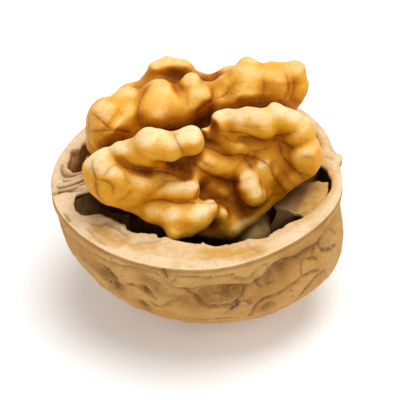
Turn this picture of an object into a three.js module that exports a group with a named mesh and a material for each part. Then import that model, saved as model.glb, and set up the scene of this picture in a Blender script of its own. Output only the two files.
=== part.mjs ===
// An opened walnut: the lower half of the woody shell, with the whole kernel still seated in it
// and a torn, folded sheet of the papery partition left beside the wall.
// Millimetres, +Z up. X runs along the nut from its blunt end to its pointed tip, and Y across it.
// The origin is the middle of the small flat spot that the shell rests on.
import * as THREE from "three";
import { MarchingCubes } from "three/addons/objects/MarchingCubes.js";
import { mergeVertices } from "three/addons/utils/BufferGeometryUtils.js";

// Driving dimensions of the shell
const HALF_LENGTH = 19.8; // blunt end to tip, halved, without the nib
const HALF_WIDTH = 19.2;
const DEPTH = 18.5; // rim to resting spot
const WALL = 1.3; // at the rim
const FULLNESS = 2.35; // superellipse exponent of the outer profile: 2 is an ellipse, more is fuller
const INNER_FULLNESS = 2.05; // less, so the wall thickens below the rim
const FLATTENING = 0.3; // how much of the round bottom the resting spot takes off
const NIB = { at: -1.5, reach: 0.9, halfAngle: 3, height: 4.5 };
const BAND = { height: 1.1, rise: 0.55, edge: 0.6 }; // the thickened suture below the rim, least height
const LEDGE = { thickness: 0.9, least: 0.9, taper: 0.2 }; // what is left of the partition inside the rim
const RIM_CROWN = 0.1; // how far the rim's broken face stands up in its middle, and sinks at its inner edge
const NET = { meshes: 60, ridge: 0.45, ridgeWidth: 1.7, dip: 0.35, dipRadius: 3.2, lift: 0.06, turn: 0.5 };
const BARE_BOTTOM = { none: 5, full: 9 }; // radius within which the net has none of its height, and all of it
const BARE_RIM = { none: 0.8, full: 3 }; // the same, as depths below the rim

// Where the rim's outline departs from an ellipse: angle and spread in degrees, rise in millimetres.
const OUTLINE_BUMPS = [
  { at: 0, spread: 17, rise: -0.95 },
  { at: 137, spread: 26, rise: -1.2 },
  { at: -60, spread: 30, rise: -0.9 },
  { at: -172, spread: 16, rise: 0.2 },
];
// Where the shell is fuller below its rim. The rise is a share of its radius, reached at BELLY_DEPTH.
const BELLY_DEPTH = 11;
const BELLY_BUMPS = [
  { at: -47, spread: 38, rise: 0.21 },
  { at: -95, spread: 35, rise: 0.03 },
  { at: 60, spread: 50, rise: 0.08 },
];
// How much higher the suture band is than its least height.
const BAND_BUMPS = [
  { at: -82, spread: 22, rise: 1.7 },
  { at: -40, spread: 14, rise: 0.7 },
  { at: 30, spread: 30, rise: 0.9 },
  { at: 110, spread: 45, rise: 1.2 },
  { at: -165, spread: 25, rise: 0.5 },
];
// How far the ledge reaches in past the wall: it is widest at the two ends, where the partition joins,
// and at the front.
const LEDGE_BUMPS = [
  { at: 0, spread: 6, rise: 1.6 },
  { at: 75, spread: 30, rise: 1.5 },
  { at: 178, spread: 9, rise: 4.2 },
  { at: -152, spread: 14, rise: 2.4 },
  { at: -122, spread: 34, rise: 5 },
  { at: -88, spread: 22, rise: 1.4 },
  { at: -58, spread: 20, rise: 0.7 },
];
// The ledge's ragged edge, as two waves: size in millimetres, turns in radians for each degree.
const RAGGED = [{ size: 0.21, pace: 0.41, start: 0 }, { size: 0.18, pace: 0.23, start: 2 }];
// Broad hollows in the outside of the wall: angle in degrees, height and radius in millimetres.
const HOLLOWS = [
  { at: -79, height: 10.5, radius: 3.6, sink: 0.8 },
  { at: -124, height: 10.5, radius: 3.4, sink: 0.8 },
  { at: -103, height: 6.5, radius: 2.6, sink: 0.7 },
  { at: -47, height: 11.5, radius: 3.4, sink: 0.8 },
  { at: -20, height: 9, radius: 3.0, sink: 0.6 },
  { at: 15, height: 11, radius: 3.4, sink: 0.8 },
  { at: 58, height: 9, radius: 3.6, sink: 0.8 },
  { at: 95, height: 12, radius: 3.2, sink: 0.8 },
  { at: 128, height: 8, radius: 3.6, sink: 0.8 },
  { at: 165, height: 12, radius: 3.2, sink: 0.7 },
  { at: -160, height: 8, radius: 3.2, sink: 0.7 },
];

// The torn papery partition: one sheet folded along its middle, as three rows of [x, y, h] points.
// h is the height above the rim. The rows run down along the wall, the fold and the free inner edge.
const SHEET_THICKNESS = 0.7;
const SHEET_ROWS = [
  [[16.8, -4.3, -1.1], [15.5, -7.4, -1.4], [12.8, -9.6, -1.8]],
  [[15.1, -3.5, -1.3], [13.6, -6.2, -1.6], [12, -8.3, -2.4]],
  [[12.6, -1.6, -3], [10.9, -3.4, -3.2], [9.6, -5, -3.4]],
];
const SHEET_TEAR = { size: 0.25, pace: 17 }; // waves along the free edge

// Mesh fineness
const SHELL_SIDES = 84;
const OUTSIDE_RINGS = 22;
const INSIDE_RINGS = 9;
const KERNEL_GRID = 32;
const KERNEL_BOX = { middle: [0.6, 1, -1.5], reach: [19.5, 17, 18] }; // holds the kernel, with room round it
const SLIVER_SHARE = 0.14; // of a grid step: no vertex comes nearer to a grid corner
const SHEET_STEPS = { across: 8, down: 6 };
const MOST_TRIANGLES = 40000; // room kept for the kernel's surface
const WELD = 1e-4; // vertices nearer than this are one
const GRID_SLACK = 1e-3; // of a grid step: rounding that is put right

// Driving dimensions of the kernel. Each lobe is a round-ended bar, [x, y, h] to [x, y, h] with a radius
// at each end, where h is the height above the rim. Front is the -Y side.
const CREASE = 1.05; // how far two lobes of one half melt together
const BACK_CREASE = 1.6; // the same, in the smoother back half
const CLEFT_CREASE = 0.6; // the same, between the two halves
const FRONT_LOBES = [
  // body of the half, behind its folds
  [-11, -4, 5, -2, -3.2, 4, 2.6, 2.6],
  [-2, -2.4, 4, 11, -1.6, 5, 2.4, 2.6],
  [-10, -5, 2.5, -2, -5, 0, 2.2, 2.6],
  [-4, -4, -1, 8, -2.6, 0, 3, 2.8],
  [4, -3.4, -1, 11, -2.6, 2, 2.4, 2.2],
  [-8, -2.6, 2, 12, -1.2, 3, 2.8, 2.6],
  [-10.4, -3.6, 7, -1, -3, 6.4, 2, 1.8],
  [-1, -2.4, 6.2, 12, -1.6, 7.2, 1.8, 2],
  // three knobs of the left crest
  [-7.8, -5.4, 11.2, -7.4, -5.4, 11, 2.1, 2.1],
  [-5.3, -5.7, 10.5, -4.8, -5.7, 10.4, 1.9, 1.9],
  [-2.4, -5.2, 10.5, -2.2, -5, 10.4, 2, 2],
  // leaf-shaped shoulder below them
  [-11.4, -4.6, 9.8, -9.6, -5, 9.6, 1.4, 1.7],
  [-9.6, -5, 9.4, -6.6, -5.4, 7.8, 1.7, 1],
  // left pad
  [-13.8, -5.4, 7, -11.6, -5.6, 5.4, 2.8, 3],
  [-13.2, -6.2, 4.8, -11.4, -6.2, 4, 2.2, 2.2],
  [-15.6, -4.6, 6.6, -15, -5.2, 5.2, 1, 1.2],
  [-13.8, -4.6, 8.8, -15, -4.6, 7.6, 1.4, 1.4],
  // plain between the pad and the fingers
  [-9.8, -5.6, 4.6, -6.6, -5, 4, 2.8, 2.3],
  [-10, -6, 3, -6.6, -6.2, 2.4, 1.9, 1.7],
  // finger in the middle
  [-6.4, -6.8, 3.8, -3.4, -7.4, 3.6, 1.4, 1.7],
  [-5, -6.6, 4.2, -3, -7.4, 4, 1.2, 1.5],
  [-6.6, -5.2, 5.4, -2.6, -5.2, 4.4, 1.6, 1.7],
  // low lobe that hangs over the rim
  [-9, -6.6, 2.6, -4.6, -7.8, 2.2, 1.2, 1.3],
  [-10.8, -6.6, 2, -8, -8, 1.2, 0.8, 1.2],
  [-8, -8, 1.2, -5.8, -9, 1, 1.2, 1.8],
  [-4.8, -9.4, 0.8, -2.2, -9.4, 0.8, 1.9, 2.1],
  [-2, -9.2, 0.8, -0.6, -8.6, 1, 1.9, 1.2],
  [-0.4, -8.3, 0.9, 1.2, -7.9, -0.7, 1.1, 1],
  [1.2, -7.9, -0.7, 1.3, -8.1, -2, 1, 0.9],
  [-3.8, -10.2, -0.4, -5.4, -10.8, -0.4, 1.4, 1.1],
  // scoop: the upper sheet, then the hollow under it
  [-1.2, -3.8, 5.6, 3.2, -3.4, 3.8, 1.7, 1.9],
  [-2.6, -4, 4.2, 0, -4, 2.6, 1.9, 1.4],
  [1, -3.2, -0.4, 4.2, -2.8, -1.6, 1.7, 1.7],
  [-1.6, -5.4, -0.8, 5, -4.4, -3, 1.2, 1.4],
  [0.2, -4.2, 1.4, 3.4, -4.4, -0.6, 1.6, 1.5],
  [2, -5.4, -1.6, 5.6, -5.4, -2.6, 1.3, 1.2],
  [0.2, -6.6, -1.2, 3.6, -6.8, -3.2, 1.2, 1.1],
  [4, -4.6, -1.2, 7.5, -4.8, -1.2, 1.5, 1.2],
  [1.6, -7.8, -2.8, 3, -8.2, -4, 1.1, 1],
  [-1.2, -7.6, -2.8, 2, -7.8, -4.2, 1.4, 1.3],
  [1, -7.2, -1.8, 3.4, -7.2, -3.2, 1.3, 1.2],
  [3, -6.1, -2.4, 6.6, -5.6, -2.2, 1.2, 1.1],
  // right crest: nose, two rolls and the shoulder
  [2.8, -2, 10.6, 4, -2, 10.6, 1.4, 1.5],
  [2.8, -2.4, 9.2, 4.4, -3, 7, 1.3, 1.3],
  [6.2, -2, 10.8, 7, -2.2, 10.5, 1.5, 1.6],
  [9.3, -2.3, 10.3, 10.2, -2.2, 10.3, 1.5, 1.9],
  [5, -2.9, 9.9, 8.8, -3.2, 9.2, 1.1, 1.3],
  [12, -2.5, 9.3, 13, -2.8, 8, 1.8, 1.9],
  [13.4, -2.8, 7.6, 14.4, -3.2, 5.2, 1.8, 1.7],
  [0.4, -2.4, 9.4, 2.6, -2, 9, 0.7, 0.8],
  // right end
  [13.4, -4.4, 4.6, 14.2, -4, 3.4, 1.9, 1.9],
  [13.6, -4.4, 2.8, 11.4, -4.6, 0.6, 1.7, 1.3],
  [15, -3.4, 3.4, 14.2, -4, 2.2, 1.4, 1.3],
  [13.8, -3.4, 4.8, 13.6, -2.8, 5.2, 2.1, 1.8],
  [11.6, -4.6, 1.2, 13, -4.4, 1.2, 1.2, 1.1],
  [10.2, -4.8, -0.2, 11, -4.8, 0.4, 0.8, 1],
  // floor under the right crest
  [4.2, -2.6, 6.2, 9.4, -2.2, 5.2, 1.2, 1.2],
  [8.2, -3.2, 4.2, 11.2, -3.2, 3.4, 1.2, 1.7],
  [4.8, -3.6, 4.4, 5.6, -4.4, 3.4, 1, 1],
  // two fingers side by side, with a pit over them
  [5.6, -5.4, 3, 6, -6.8, 1, 1.3, 1.5],
  [5.8, -6, 2, 6.4, -6.4, 1.2, 1.6, 1.6],
  [7.2, -5, 2.4, 8.4, -4.8, -0.4, 1.2, 1.3],
  [7.8, -4.6, 4, 8.4, -5.2, 2.4, 1, 1],
  [8.4, -5.2, 1.2, 7.6, -5.8, 0, 0.8, 1],
  [9.4, -4.2, 2.4, 10, -4.4, 0.4, 1.4, 1.3],
  // lower right edge, sinking into the shell
  [10.2, -4.6, -1.4, 7.6, -5.8, -2.2, 0.8, 0.9],
  [7.6, -5.8, -2.2, 5.6, -6.8, -3.3, 0.9, 0.9],
  [5.6, -6.8, -3.3, 3.2, -8.4, -3.8, 0.9, 1],
];
const BACK_LOBES = [
  // body of the half
  [-11, 6, 3.5, 11, 6, 4.5, 3.6, 3.8],
  [-5, 9, 4, 6, 9, 5, 3.4, 3.6],
  [-9.4, 6.8, 7, -6, 7, 7.2, 1.8, 1.8],
  // left lobe
  [-11.8, 4, 8.2, -11, 3.6, 7.6, 2.4, 2.8],
  [-12.4, 2.6, 6.4, -9.8, 2.4, 5.4, 1.9, 2.1],
  [-11.8, 4.6, 9.1, -10.8, 5.4, 9.2, 1.4, 1.3],
  [-11, 3, 4.4, -7.4, 3.6, 4.8, 1.9, 1.8],
  // knob and the bulge beside it
  [-8.5, 6, 10, -8.4, 5.2, 9, 1.7, 1.8],
  [-9.6, 4, 8, -8.6, 3, 6.8, 1.9, 1.7],
  [-4.2, 6, 8.8, -3, 5, 7.8, 3, 2.9],
  [-4.8, 4, 8, -2.4, 4, 7.2, 2.8, 2.5],
  // second knob
  [0.2, 6.6, 10.6, 0.4, 6, 9.4, 1.5, 1.7],
  [1.2, 5, 9, 0.6, 4.4, 8.2, 1.9, 1.9],
  [2.4, 6.4, 9, 2.4, 5.6, 8.2, 1.1, 1.1],
  // broad right lobe, with a small horn
  [5.4, 6.4, 9.2, 6.4, 6, 8.6, 1.9, 2.8],
  [4.4, 4.4, 7.8, 7.2, 4, 7.4, 1.9, 1.9],
  [8.4, 6.2, 9.6, 8.2, 5, 8.6, 3, 2.8],
  [8.4, 7.6, 12, 8, 7, 11.2, 0.8, 1.4],
  [11.8, 6.4, 9.2, 11.6, 5.2, 7.6, 2.8, 2.6],
  [14.8, 7, 9.8, 15, 6.4, 8.4, 1.8, 1.8],
  [14, 5.2, 7.4, 13.6, 4.8, 6.8, 1.4, 1.1],
  // curl that shows over the crest, and its root
  [-4, 9.2, 7.6, 0.4, 9.2, 7.8, 1.7, 1.7],
  [-4.6, 9.6, 9.4, -3.8, 10.3, 11, 0.8, 0.8],
  [-3.8, 10.3, 11, -2.2, 10.7, 11.2, 0.8, 0.8],
  [-2.2, 10.7, 11.2, 0, 10.3, 10.8, 0.8, 0.8],
  [0, 10.3, 10.8, 1, 9.2, 9.2, 0.8, 0.9],
  [-3.4, 11.2, 9.4, 0, 11, 9.4, 1, 1],
  // folds down the outer face
  [-11.4, 7.6, 6.4, -11.8, 9.2, 1.6, 2.4, 2.2],
  [-7.4, 9.4, 6.8, -8.6, 11, 3.6, 2.4, 2],
  [-8, 10.6, 2.6, -5.4, 12, -0.4, 2, 2.2],
  [-3.4, 10, 7.8, -1.6, 12.2, 3.4, 2.4, 2.2],
  [-1.8, 12.6, 2, -2.6, 12.4, -1.4, 1.9, 2.2],
  [2, 10.6, 6.6, 4.2, 12.4, 3, 2.2, 2],
  [3.4, 12.8, 1, 6, 11.8, -1.6, 2.2, 2.2],
  [7, 9.4, 7.4, 9.4, 10.4, 3.8, 2.6, 2.2],
  [10, 10.2, 2.2, 10.6, 9.4, -0.8, 2.2, 2],
  [12.4, 7.6, 6.4, 12.8, 8, 2.6, 2.3, 2.2],
];
const LOWER_LOBES = [
  [-5, -0.4, -6.4, 7, -1.4, -6.4, 3.6, 3.6],
  [-9, 6, -4, 9, 6, -4, 5.2, 5.4],
  [-4, -0.6, -12.2, 4, -1, -12.2, 4.1, 4.1],
  [-4.4, 4.2, -11, 5.2, 4.2, -11, 4.6, 4.6],
  [-9, 2, -1, 9, 2, -1, 3.6, 3.6],
  // pale lobe that shows in the gap at the right
  [6, -6.4, -6.8, 7, -5.6, -7.2, 2.3, 2.1],
];

const DEGREE = Math.PI / 180;
const smoothstep = THREE.MathUtils.smoothstep;

// An angle brought to -180 to 180 degrees.
function turned(degrees) {
  return THREE.MathUtils.euclideanModulo(degrees + 180, 360) - 180;
}

// The sum of bell-shaped rises round the shell, at an angle in degrees.
function bumpsAt(bumps, degrees) {
  return bumps.reduce((sum, { at, spread, rise }) => {
    return sum + rise * Math.exp(-((turned(degrees - at) / spread) ** 2));
  }, 0);
}

// A repeatable number from 0 to 1.
function draw(index, salt) {
  const wave = Math.sin(index * 12.9898 + salt * 78.233) * 43758.5453;
  return wave - Math.floor(wave);
}

function outlineRadius(degrees) {
  const angle = degrees * DEGREE;
  const ellipse = 1 / Math.hypot(Math.cos(angle) / HALF_LENGTH, Math.sin(angle) / HALF_WIDTH);
  return ellipse + bumpsAt(OUTLINE_BUMPS, degrees);
}

// How much fuller the shell is at a depth below its rim, as a factor of its radius.
function bellyAt(degrees, below) {
  return 1 + bumpsAt(BELLY_BUMPS, degrees) * smoothstep(below, 0, BELLY_DEPTH);
}

// Middles of the net's meshes, spread over the lower half of a unit sphere by the golden angle.
const NET_MIDDLES = Array.from({ length: NET.meshes }, (_, i) => {
  const height = -(i + 0.5) / NET.meshes + NET.lift * (draw(i, 1) - 0.5);
  const turn = i * Math.PI * (3 - Math.sqrt(5)) + NET.turn * (draw(i, 2) - 0.5);
  const radius = Math.sqrt(1 - Math.min(1, height * height));
  return new THREE.Vector3(radius * Math.cos(turn), radius * Math.sin(turn), height);
});

// The raised net on the outside of the wall, and the broad hollows between its ridges.
function reliefAt(degrees, height, radius) {
  const angle = degrees * DEGREE;
  const here = new THREE.Vector3(radius * Math.cos(angle), radius * Math.sin(angle), height - DEPTH);
  const size = here.length();
  const away = NET_MIDDLES.map((middle) => middle.distanceTo(here.clone().divideScalar(size)) * size);
  away.sort((a, b) => a - b);
  const ridge = 1 - smoothstep(away[1] - away[0], 0, NET.ridgeWidth);
  const dip = 1 - smoothstep(away[0], 0, NET.dipRadius);
  const hollows = HOLLOWS.reduce((sum, hollow) => {
    const along = turned(degrees - hollow.at) * DEGREE * radius;
    const off = Math.hypot(along, height - hollow.height) / hollow.radius;
    return sum + hollow.sink * Math.exp(-off * off);
  }, 0);
  return NET.ridge * ridge - NET.dip * dip - hollows;
}

// One profile ring of the shell at an angle: a function of the angle that gives [radius, height].
function outerRing(rise) {
  return (degrees) => {
    const tilt = rise * 90 * DEGREE;
    const share = Math.sin(tilt) ** (2 / FULLNESS);
    const drop = Math.cos(tilt) ** (2 / FULLNESS);
    const height = DEPTH - (DEPTH + FLATTENING) * drop;
    const below = DEPTH - height;
    const radius = outlineRadius(degrees) * share * bellyAt(degrees, below);
    const bandHeight = BAND.height + bumpsAt(BAND_BUMPS, degrees);
    const band = BAND.rise * (1 - smoothstep(below, bandHeight - BAND.edge, bandHeight + BAND.edge));
    const offBottom = smoothstep(radius, BARE_BOTTOM.none, BARE_BOTTOM.full);
    const fade = offBottom * smoothstep(below, BARE_RIM.none, BARE_RIM.full);
    const off = turned(degrees - NIB.at);
    const nib = NIB.reach * Math.exp(-((off / NIB.halfAngle) ** 2)) * (1 - smoothstep(below, 0, NIB.height));
    const out = band + nib + fade * reliefAt(degrees, height, radius);
    return [Math.max(radius + out * share, 0), Math.max(height - out * (1 - share), 0)];
  };
}

function innerRing(rise) {
  return (degrees) => {
    const tilt = rise * 90 * DEGREE;
    const top = DEPTH - 2 * LEDGE.thickness;
    const below = (top - WALL) * Math.cos(tilt) ** (2 / INNER_FULLNESS);
    const radius = (outlineRadius(degrees) - WALL) * Math.sin(tilt) ** (2 / INNER_FULLNESS);
    return [radius * bellyAt(degrees, below), top - below];
  };
}

// The ragged inner edge of the ledge.
function ledgeRadius(degrees) {
  const ragged = RAGGED.reduce((sum, { size, pace, start }) => {
    return sum + size * Math.sin(degrees * pace + start);
  }, 0);
  return outlineRadius(degrees) - LEDGE.least - Math.max(0, bumpsAt(LEDGE_BUMPS, degrees) + ragged);
}

function shellGeometry() {
  const rises = (count) => Array.from({ length: count + 1 }, (_, j) => j / count);
  const rings = [
    ...rises(OUTSIDE_RINGS).map(outerRing),
    (degrees) => [THREE.MathUtils.lerp(outlineRadius(degrees), ledgeRadius(degrees), 0.5), DEPTH + RIM_CROWN],
    (degrees) => [ledgeRadius(degrees), DEPTH - RIM_CROWN],
    (degrees) => [ledgeRadius(degrees) + LEDGE.taper, DEPTH - LEDGE.thickness],
    ...rises(INSIDE_RINGS).reverse().map(innerRing),
  ];
  const last = rings.length - 1;
  const profile = rings.map((_, j) => new THREE.Vector2(j === 0 || j === last ? 0 : 1, j));
  const geometry = new THREE.LatheGeometry(profile, SHELL_SIDES);
  const position = geometry.getAttribute("position");
  for (let i = 0; i < position.count; i++) {
    const side = Math.floor(i / rings.length) % SHELL_SIDES;
    const degrees = (side * 360) / SHELL_SIDES - 180;
    const [radius, height] = rings[i % rings.length](degrees);
    const round = i % rings.length === 0 || i % rings.length === last ? 0 : radius;
    position.setXYZ(i, round * Math.cos(degrees * DEGREE), round * Math.sin(degrees * DEGREE), height);
  }
  return closed(geometry);
}

// A geometry with only its positions, and one vertex where several met.
function closed(geometry) {
  geometry.deleteAttribute("normal");
  geometry.deleteAttribute("uv");
  const merged = mergeVertices(geometry, WELD);
  merged.computeVertexNormals();
  return merged;
}

// Distance from a point to a round-ended bar, negative inside it.
function lobeDistance(point, [ax, ay, az, bx, by, bz, ra, rb]) {
  const from = new THREE.Vector3(ax, ay, az);
  const along = new THREE.Vector3(bx, by, bz).sub(from);
  const offset = point.clone().sub(from);
  const share = THREE.MathUtils.clamp(offset.dot(along) / along.lengthSq(), 0, 1);
  return offset.addScaledVector(along, -share).length() - THREE.MathUtils.lerp(ra, rb, share);
}

// The smaller of two distances, rounded off where they are close.
function melt(a, b, width) {
  const near = Math.max(width - Math.abs(a - b), 0) / width;
  return Math.min(a, b) - near * near * width * 0.25;
}

function kernelDistance(point) {
  const half = (lobes, crease) =>
    lobes.map((lobe) => lobeDistance(point, lobe)).reduce((a, b) => melt(a, b, crease));
  const upper = melt(half(FRONT_LOBES, CREASE), half(BACK_LOBES, BACK_CREASE), CLEFT_CREASE);
  return melt(upper, half(LOWER_LOBES, CREASE), CLEFT_CREASE);
}

function kernelGeometry() {
  const middle = new THREE.Vector3(...KERNEL_BOX.middle);
  const reach = new THREE.Vector3(...KERNEL_BOX.reach);
  const cubes = new MarchingCubes(KERNEL_GRID, new THREE.MeshBasicMaterial(), false, false, MOST_TRIANGLES);
  const half = KERNEL_GRID / 2;
  const clear = SLIVER_SHARE * (reach.y / half);
  cubes.isolation = 0;
  cubes.field.forEach((_, index) => {
    const ix = index % KERNEL_GRID;
    const iy = Math.floor(index / KERNEL_GRID) % KERNEL_GRID;
    const iz = Math.floor(index / KERNEL_GRID ** 2);
    const point = new THREE.Vector3(ix, iy, iz).divideScalar(half).subScalar(1).multiply(reach).add(middle);
    const depth = -kernelDistance(point);
    cubes.field[index] = Math.sign(depth || 1) * Math.max(Math.abs(depth), clear);
  });
  cubes.update();
  // Cells that share a corner round its place differently, so those places go back to the grid's own.
  const corners = cubes.positionArray.slice(0, cubes.count * 3).map((place) => {
    const step = Math.round(place * half);
    return Math.abs(place * half - step) < GRID_SLACK ? step / half : place;
  });
  const geometry = new THREE.BufferGeometry().setAttribute("position", new THREE.BufferAttribute(corners, 3));
  geometry.scale(reach.x, reach.y, reach.z).translate(middle.x, middle.y, middle.z);
  return closed(geometry);
}

// The sheet, as a box bent along the rows: x of the box runs out to the wall, and y up along the rows.
function partitionGeometry() {
  const rows = SHEET_ROWS.map((row) => {
    return new THREE.CatmullRomCurve3(row.map((place) => new THREE.Vector3(...place)));
  });
  const middleAt = (across, down) => {
    const places = rows.map((row) => row.getPoint(down));
    return new THREE.CatmullRomCurve3(places).getPoint(across);
  };
  const geometry = new THREE.BoxGeometry(1, 1, 1, SHEET_STEPS.across, SHEET_STEPS.down, 1);
  const position = geometry.getAttribute("position");
  for (let i = 0; i < position.count; i++) {
    const across = 0.5 - position.getX(i);
    const down = 0.5 - position.getY(i);
    const torn = SHEET_TEAR.size * Math.sin(down * SHEET_TEAR.pace) * across;
    const place = middleAt(across, down).add(new THREE.Vector3(torn, 0, position.getZ(i) * SHEET_THICKNESS));
    position.setXYZ(i, place.x, place.y, place.z);
  }
  return closed(geometry);
}

const shellMaterial = new THREE.MeshStandardMaterial({ color: 0xc79a63, roughness: 0.7, metalness: 0 });
const kernelMaterial = new THREE.MeshStandardMaterial({ color: 0xd9a04a, roughness: 0.45, metalness: 0 });
const partitionMaterial = new THREE.MeshStandardMaterial({ color: 0xa88656, roughness: 0.8, metalness: 0 });

const walnut = new THREE.Group();

const shell = new THREE.Mesh(shellGeometry(), shellMaterial);
shell.name = "shell";
walnut.add(shell);

const kernel = new THREE.Mesh(kernelGeometry(), kernelMaterial);
kernel.name = "kernel";
kernel.position.z = DEPTH;
walnut.add(kernel);

const partition = new THREE.Mesh(partitionGeometry(), partitionMaterial);
partition.name = "partition";
partition.position.z = DEPTH;
walnut.add(partition);

export default walnut;
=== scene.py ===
"""The looks of an opened walnut: half a shell, the whole kernel in it and a torn sheet of its partition.

Shapes are worked out in millimetres from the same driving dimensions as the solids, and made in metres.
"""

import math

import bpy
import numpy as np
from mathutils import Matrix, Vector, kdtree, noise
from mathutils.bvhtree import BVHTree


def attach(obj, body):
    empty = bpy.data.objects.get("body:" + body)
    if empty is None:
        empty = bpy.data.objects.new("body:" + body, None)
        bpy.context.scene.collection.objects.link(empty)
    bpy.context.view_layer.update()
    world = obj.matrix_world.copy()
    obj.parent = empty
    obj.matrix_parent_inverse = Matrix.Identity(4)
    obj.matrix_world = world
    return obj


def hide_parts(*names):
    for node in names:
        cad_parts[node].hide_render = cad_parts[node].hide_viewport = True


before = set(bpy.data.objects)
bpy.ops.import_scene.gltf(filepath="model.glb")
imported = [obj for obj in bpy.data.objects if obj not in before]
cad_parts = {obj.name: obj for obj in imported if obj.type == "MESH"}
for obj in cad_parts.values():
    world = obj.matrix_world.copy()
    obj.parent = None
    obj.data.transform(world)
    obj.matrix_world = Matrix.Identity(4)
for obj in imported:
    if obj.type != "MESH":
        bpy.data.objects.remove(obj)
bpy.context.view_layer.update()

MM = 0.001

# Driving dimensions of the shell, in millimetres
HALF_LENGTH = 19.8
HALF_WIDTH = 19.2
DEPTH = 18.5
WALL = 1.3
FULLNESS = 2.35
INNER_FULLNESS = 2.05
FLATTENING = 0.3
NIB = {"at": -1.5, "reach": 0.9, "half_angle": 3.0, "height": 4.5}
LEDGE_THICKNESS = 0.9
NET = {
    "meshes": 60, "salt": 1, "ridge": 0.45, "ridge_width": 1.7, "dip": 0.35, "dip_radius": 3.2,
    "least": 0.35,
}
PLATES = {
    "count": 190, "salt": 7, "groove": 0.2, "groove_width": 0.55, "step": 0.1, "step_salt": 3,
    "step_width": (0.2, 1.2), "patch_edge": (-0.2, 0.2), "least": 0.2,
}
GOLDEN_ANGLE = math.pi * (3 - math.sqrt(5))

# Bell-shaped rises round the shell: middle and spread in degrees, rise in millimetres
OUTLINE_BUMPS = [(0, 17, -0.95), (137, 26, -1.2), (-60, 30, -0.9), (-172, 16, 0.2)]
BELLY_BUMPS = [(-47, 38, 0.21), (-95, 35, 0.03), (60, 50, 0.08)]
BELLY_DEPTH = 11.0
LEDGE_LEAST = 0.9
LEDGE_BUMPS = [
    (0, 6, 1.6), (75, 30, 1.5), (178, 9, 4.2), (-152, 14, 2.4), (-122, 34, 5.0), (-88, 22, 1.4),
    (-58, 20, 0.7),
]
# The suture band under the rim, with the fine seam on it and the dip below it
BAND = {"height": 1.1, "rise": 0.55, "over": 0.3, "under": 0.12}
SEAM = {"below": 0.35, "width": 0.15, "depth": 0.12}
UNDER_BAND = {"below": 0.25, "width": 0.35, "depth": 0.2}
BAND_BUMPS = [(-82, 22, 1.7), (-40, 14, 0.7), (30, 30, 0.9), (110, 45, 1.2), (-165, 25, 0.5)]
# Where the photograph doesn't reach, the net shows: degrees from the front where that starts and ends
FRONT_ANGLE = 95
HIDDEN_FROM, HIDDEN_TO = 62, 85
HIDDEN_NET = 0.25
# The relief starts between these radii round the foot, and between these depths under the rim
FOOT = (5, 9)
UNDER_RIM = (0.8, 3)
STROKES_START = (0.1, 0.5)
# How dark the marks are: the plates' dark joints, the seam, painted shadow in the dip under the band, and
# dirt with painted shade in the hollows
GROOVE_MARK = {"plates": 0.6, "seam": 0.8, "under_band": 0.5}
DIRT_AND_SHADE = {"hollows": 0.8, "overall": 0.12}

# Roughness as layers of noise: height, size of its bumps and an offset, in millimetres
BAND_WAVER = [(0.15, 2.0, 0)]
PLATE_SHAKE = [(0.9, 2.6, 5)]
PLATE_PATCHES = [(1, 7.0, 2)]
SHELL_LUMPS = [(0.16, 2.4, 9), (0.06, 0.9, 4)]
LEDGE_TEARS = [(0.3, 1.7, 3), (0.2, 0.6, 8)]
RIM_GRAIN = [(0.08, 1.4, 1), (0.04, 0.45, 6)]
LINING_WRINKLES = [(0.12, 2.0, 15)]
KERNEL_LUMPS = [(0.16, 2.3, 0), (0.07, 1.0, 4)]
SHEET_WAVES = [(0.12, 1.4, 0)]
SHEET_TEARS = [(0.3, 0.7, 4)]

# The rim's broken face: membrane inside the wall, folds at the blunt end, ridge at the pointed one
RIM_FRONT = {"at": -105, "spread": 55}
RIM_ENDS = (8, 12)
MEMBRANE = {"inward": 0.9, "edge": (-0.25, 0.35), "sink": 0.22, "least": 0.4}
OUTER_EDGE = {"share": 0.1, "drop": 0.06}
INNER_EDGE = {"share": 0.85, "drop": 0.12}
FOLDS = {"turn": 2.4, "lean": 0.8, "spread": 2.6, "rise": 0.22, "share": (0.15, 0.6)}
END_CREASE = {"width": 0.28, "depth": 0.4, "mark": 0.6}
END_RIDGE = {"at": -0.3, "width": 0.5, "rise": 0.35}
LIP = {"rings": 4, "start": 0.3, "drop": 0.5}
# Golden bevel along the right of the rim, and how deep and strong stains are
BEVEL = {"share": (0.3, 0.8), "along": (-2, 6), "mark": 0.8}
STAIN = {"sink": 0.15, "membrane": 0.3}
# Waves of the ledge's edge: height in millimetres, turn per degree and start; then how far tears go
LEDGE_WAVES = [(0.21, 0.41, 0), (0.18, 0.23, 2)]
LEDGE_TORN = {"least": 0.2, "most": 0.8}
# Painted shade: the lining turns dark between these distances in front of the nut's middle
LINING_SHADE = (-4, -1)

# Broad hollows outside: angle in degrees, height, radius and depth in millimetres
HOLLOWS = [
    (-79, 10.5, 3.6, 0.8), (-124, 10.5, 3.4, 0.8), (-103, 6.5, 2.6, 0.7), (-47, 11.5, 3.4, 0.8),
    (-20, 9.0, 3.0, 0.6), (15, 11.0, 3.4, 0.8), (58, 9.0, 3.6, 0.8), (95, 12.0, 3.2, 0.8),
    (128, 8.0, 3.6, 0.8), (165, 12.0, 3.2, 0.7), (-160, 8.0, 3.2, 0.7),
]

# Mesh fineness
SHELL_SIDES = 440
OUTSIDE_RINGS = 120
RIM_RINGS = 26
INSIDE_RINGS = 26
KERNEL_STEP = 0.25
KERNEL_LOW = (-18.0, -13.5, -18.0)
KERNEL_HIGH = (18.0, 16.5, 14.5)
SHEET_GRID = (61, 41)

# The partition's sheet: its torn edge, the half darkened by painted shade and its frayed corner, as shares of
# its length and width
SHEET_THICKNESS = 0.3
SHEET_EDGE = (0.4, 0.5)
SHEET_TEAR_WAY = (0.7, 0.7, 0.2)
SHEET_SHADE = (0.42, 0.6)
SHEET_FRAYED = {"down": (0.93, 1.0), "across": (0.4, 0.55)}
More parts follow.
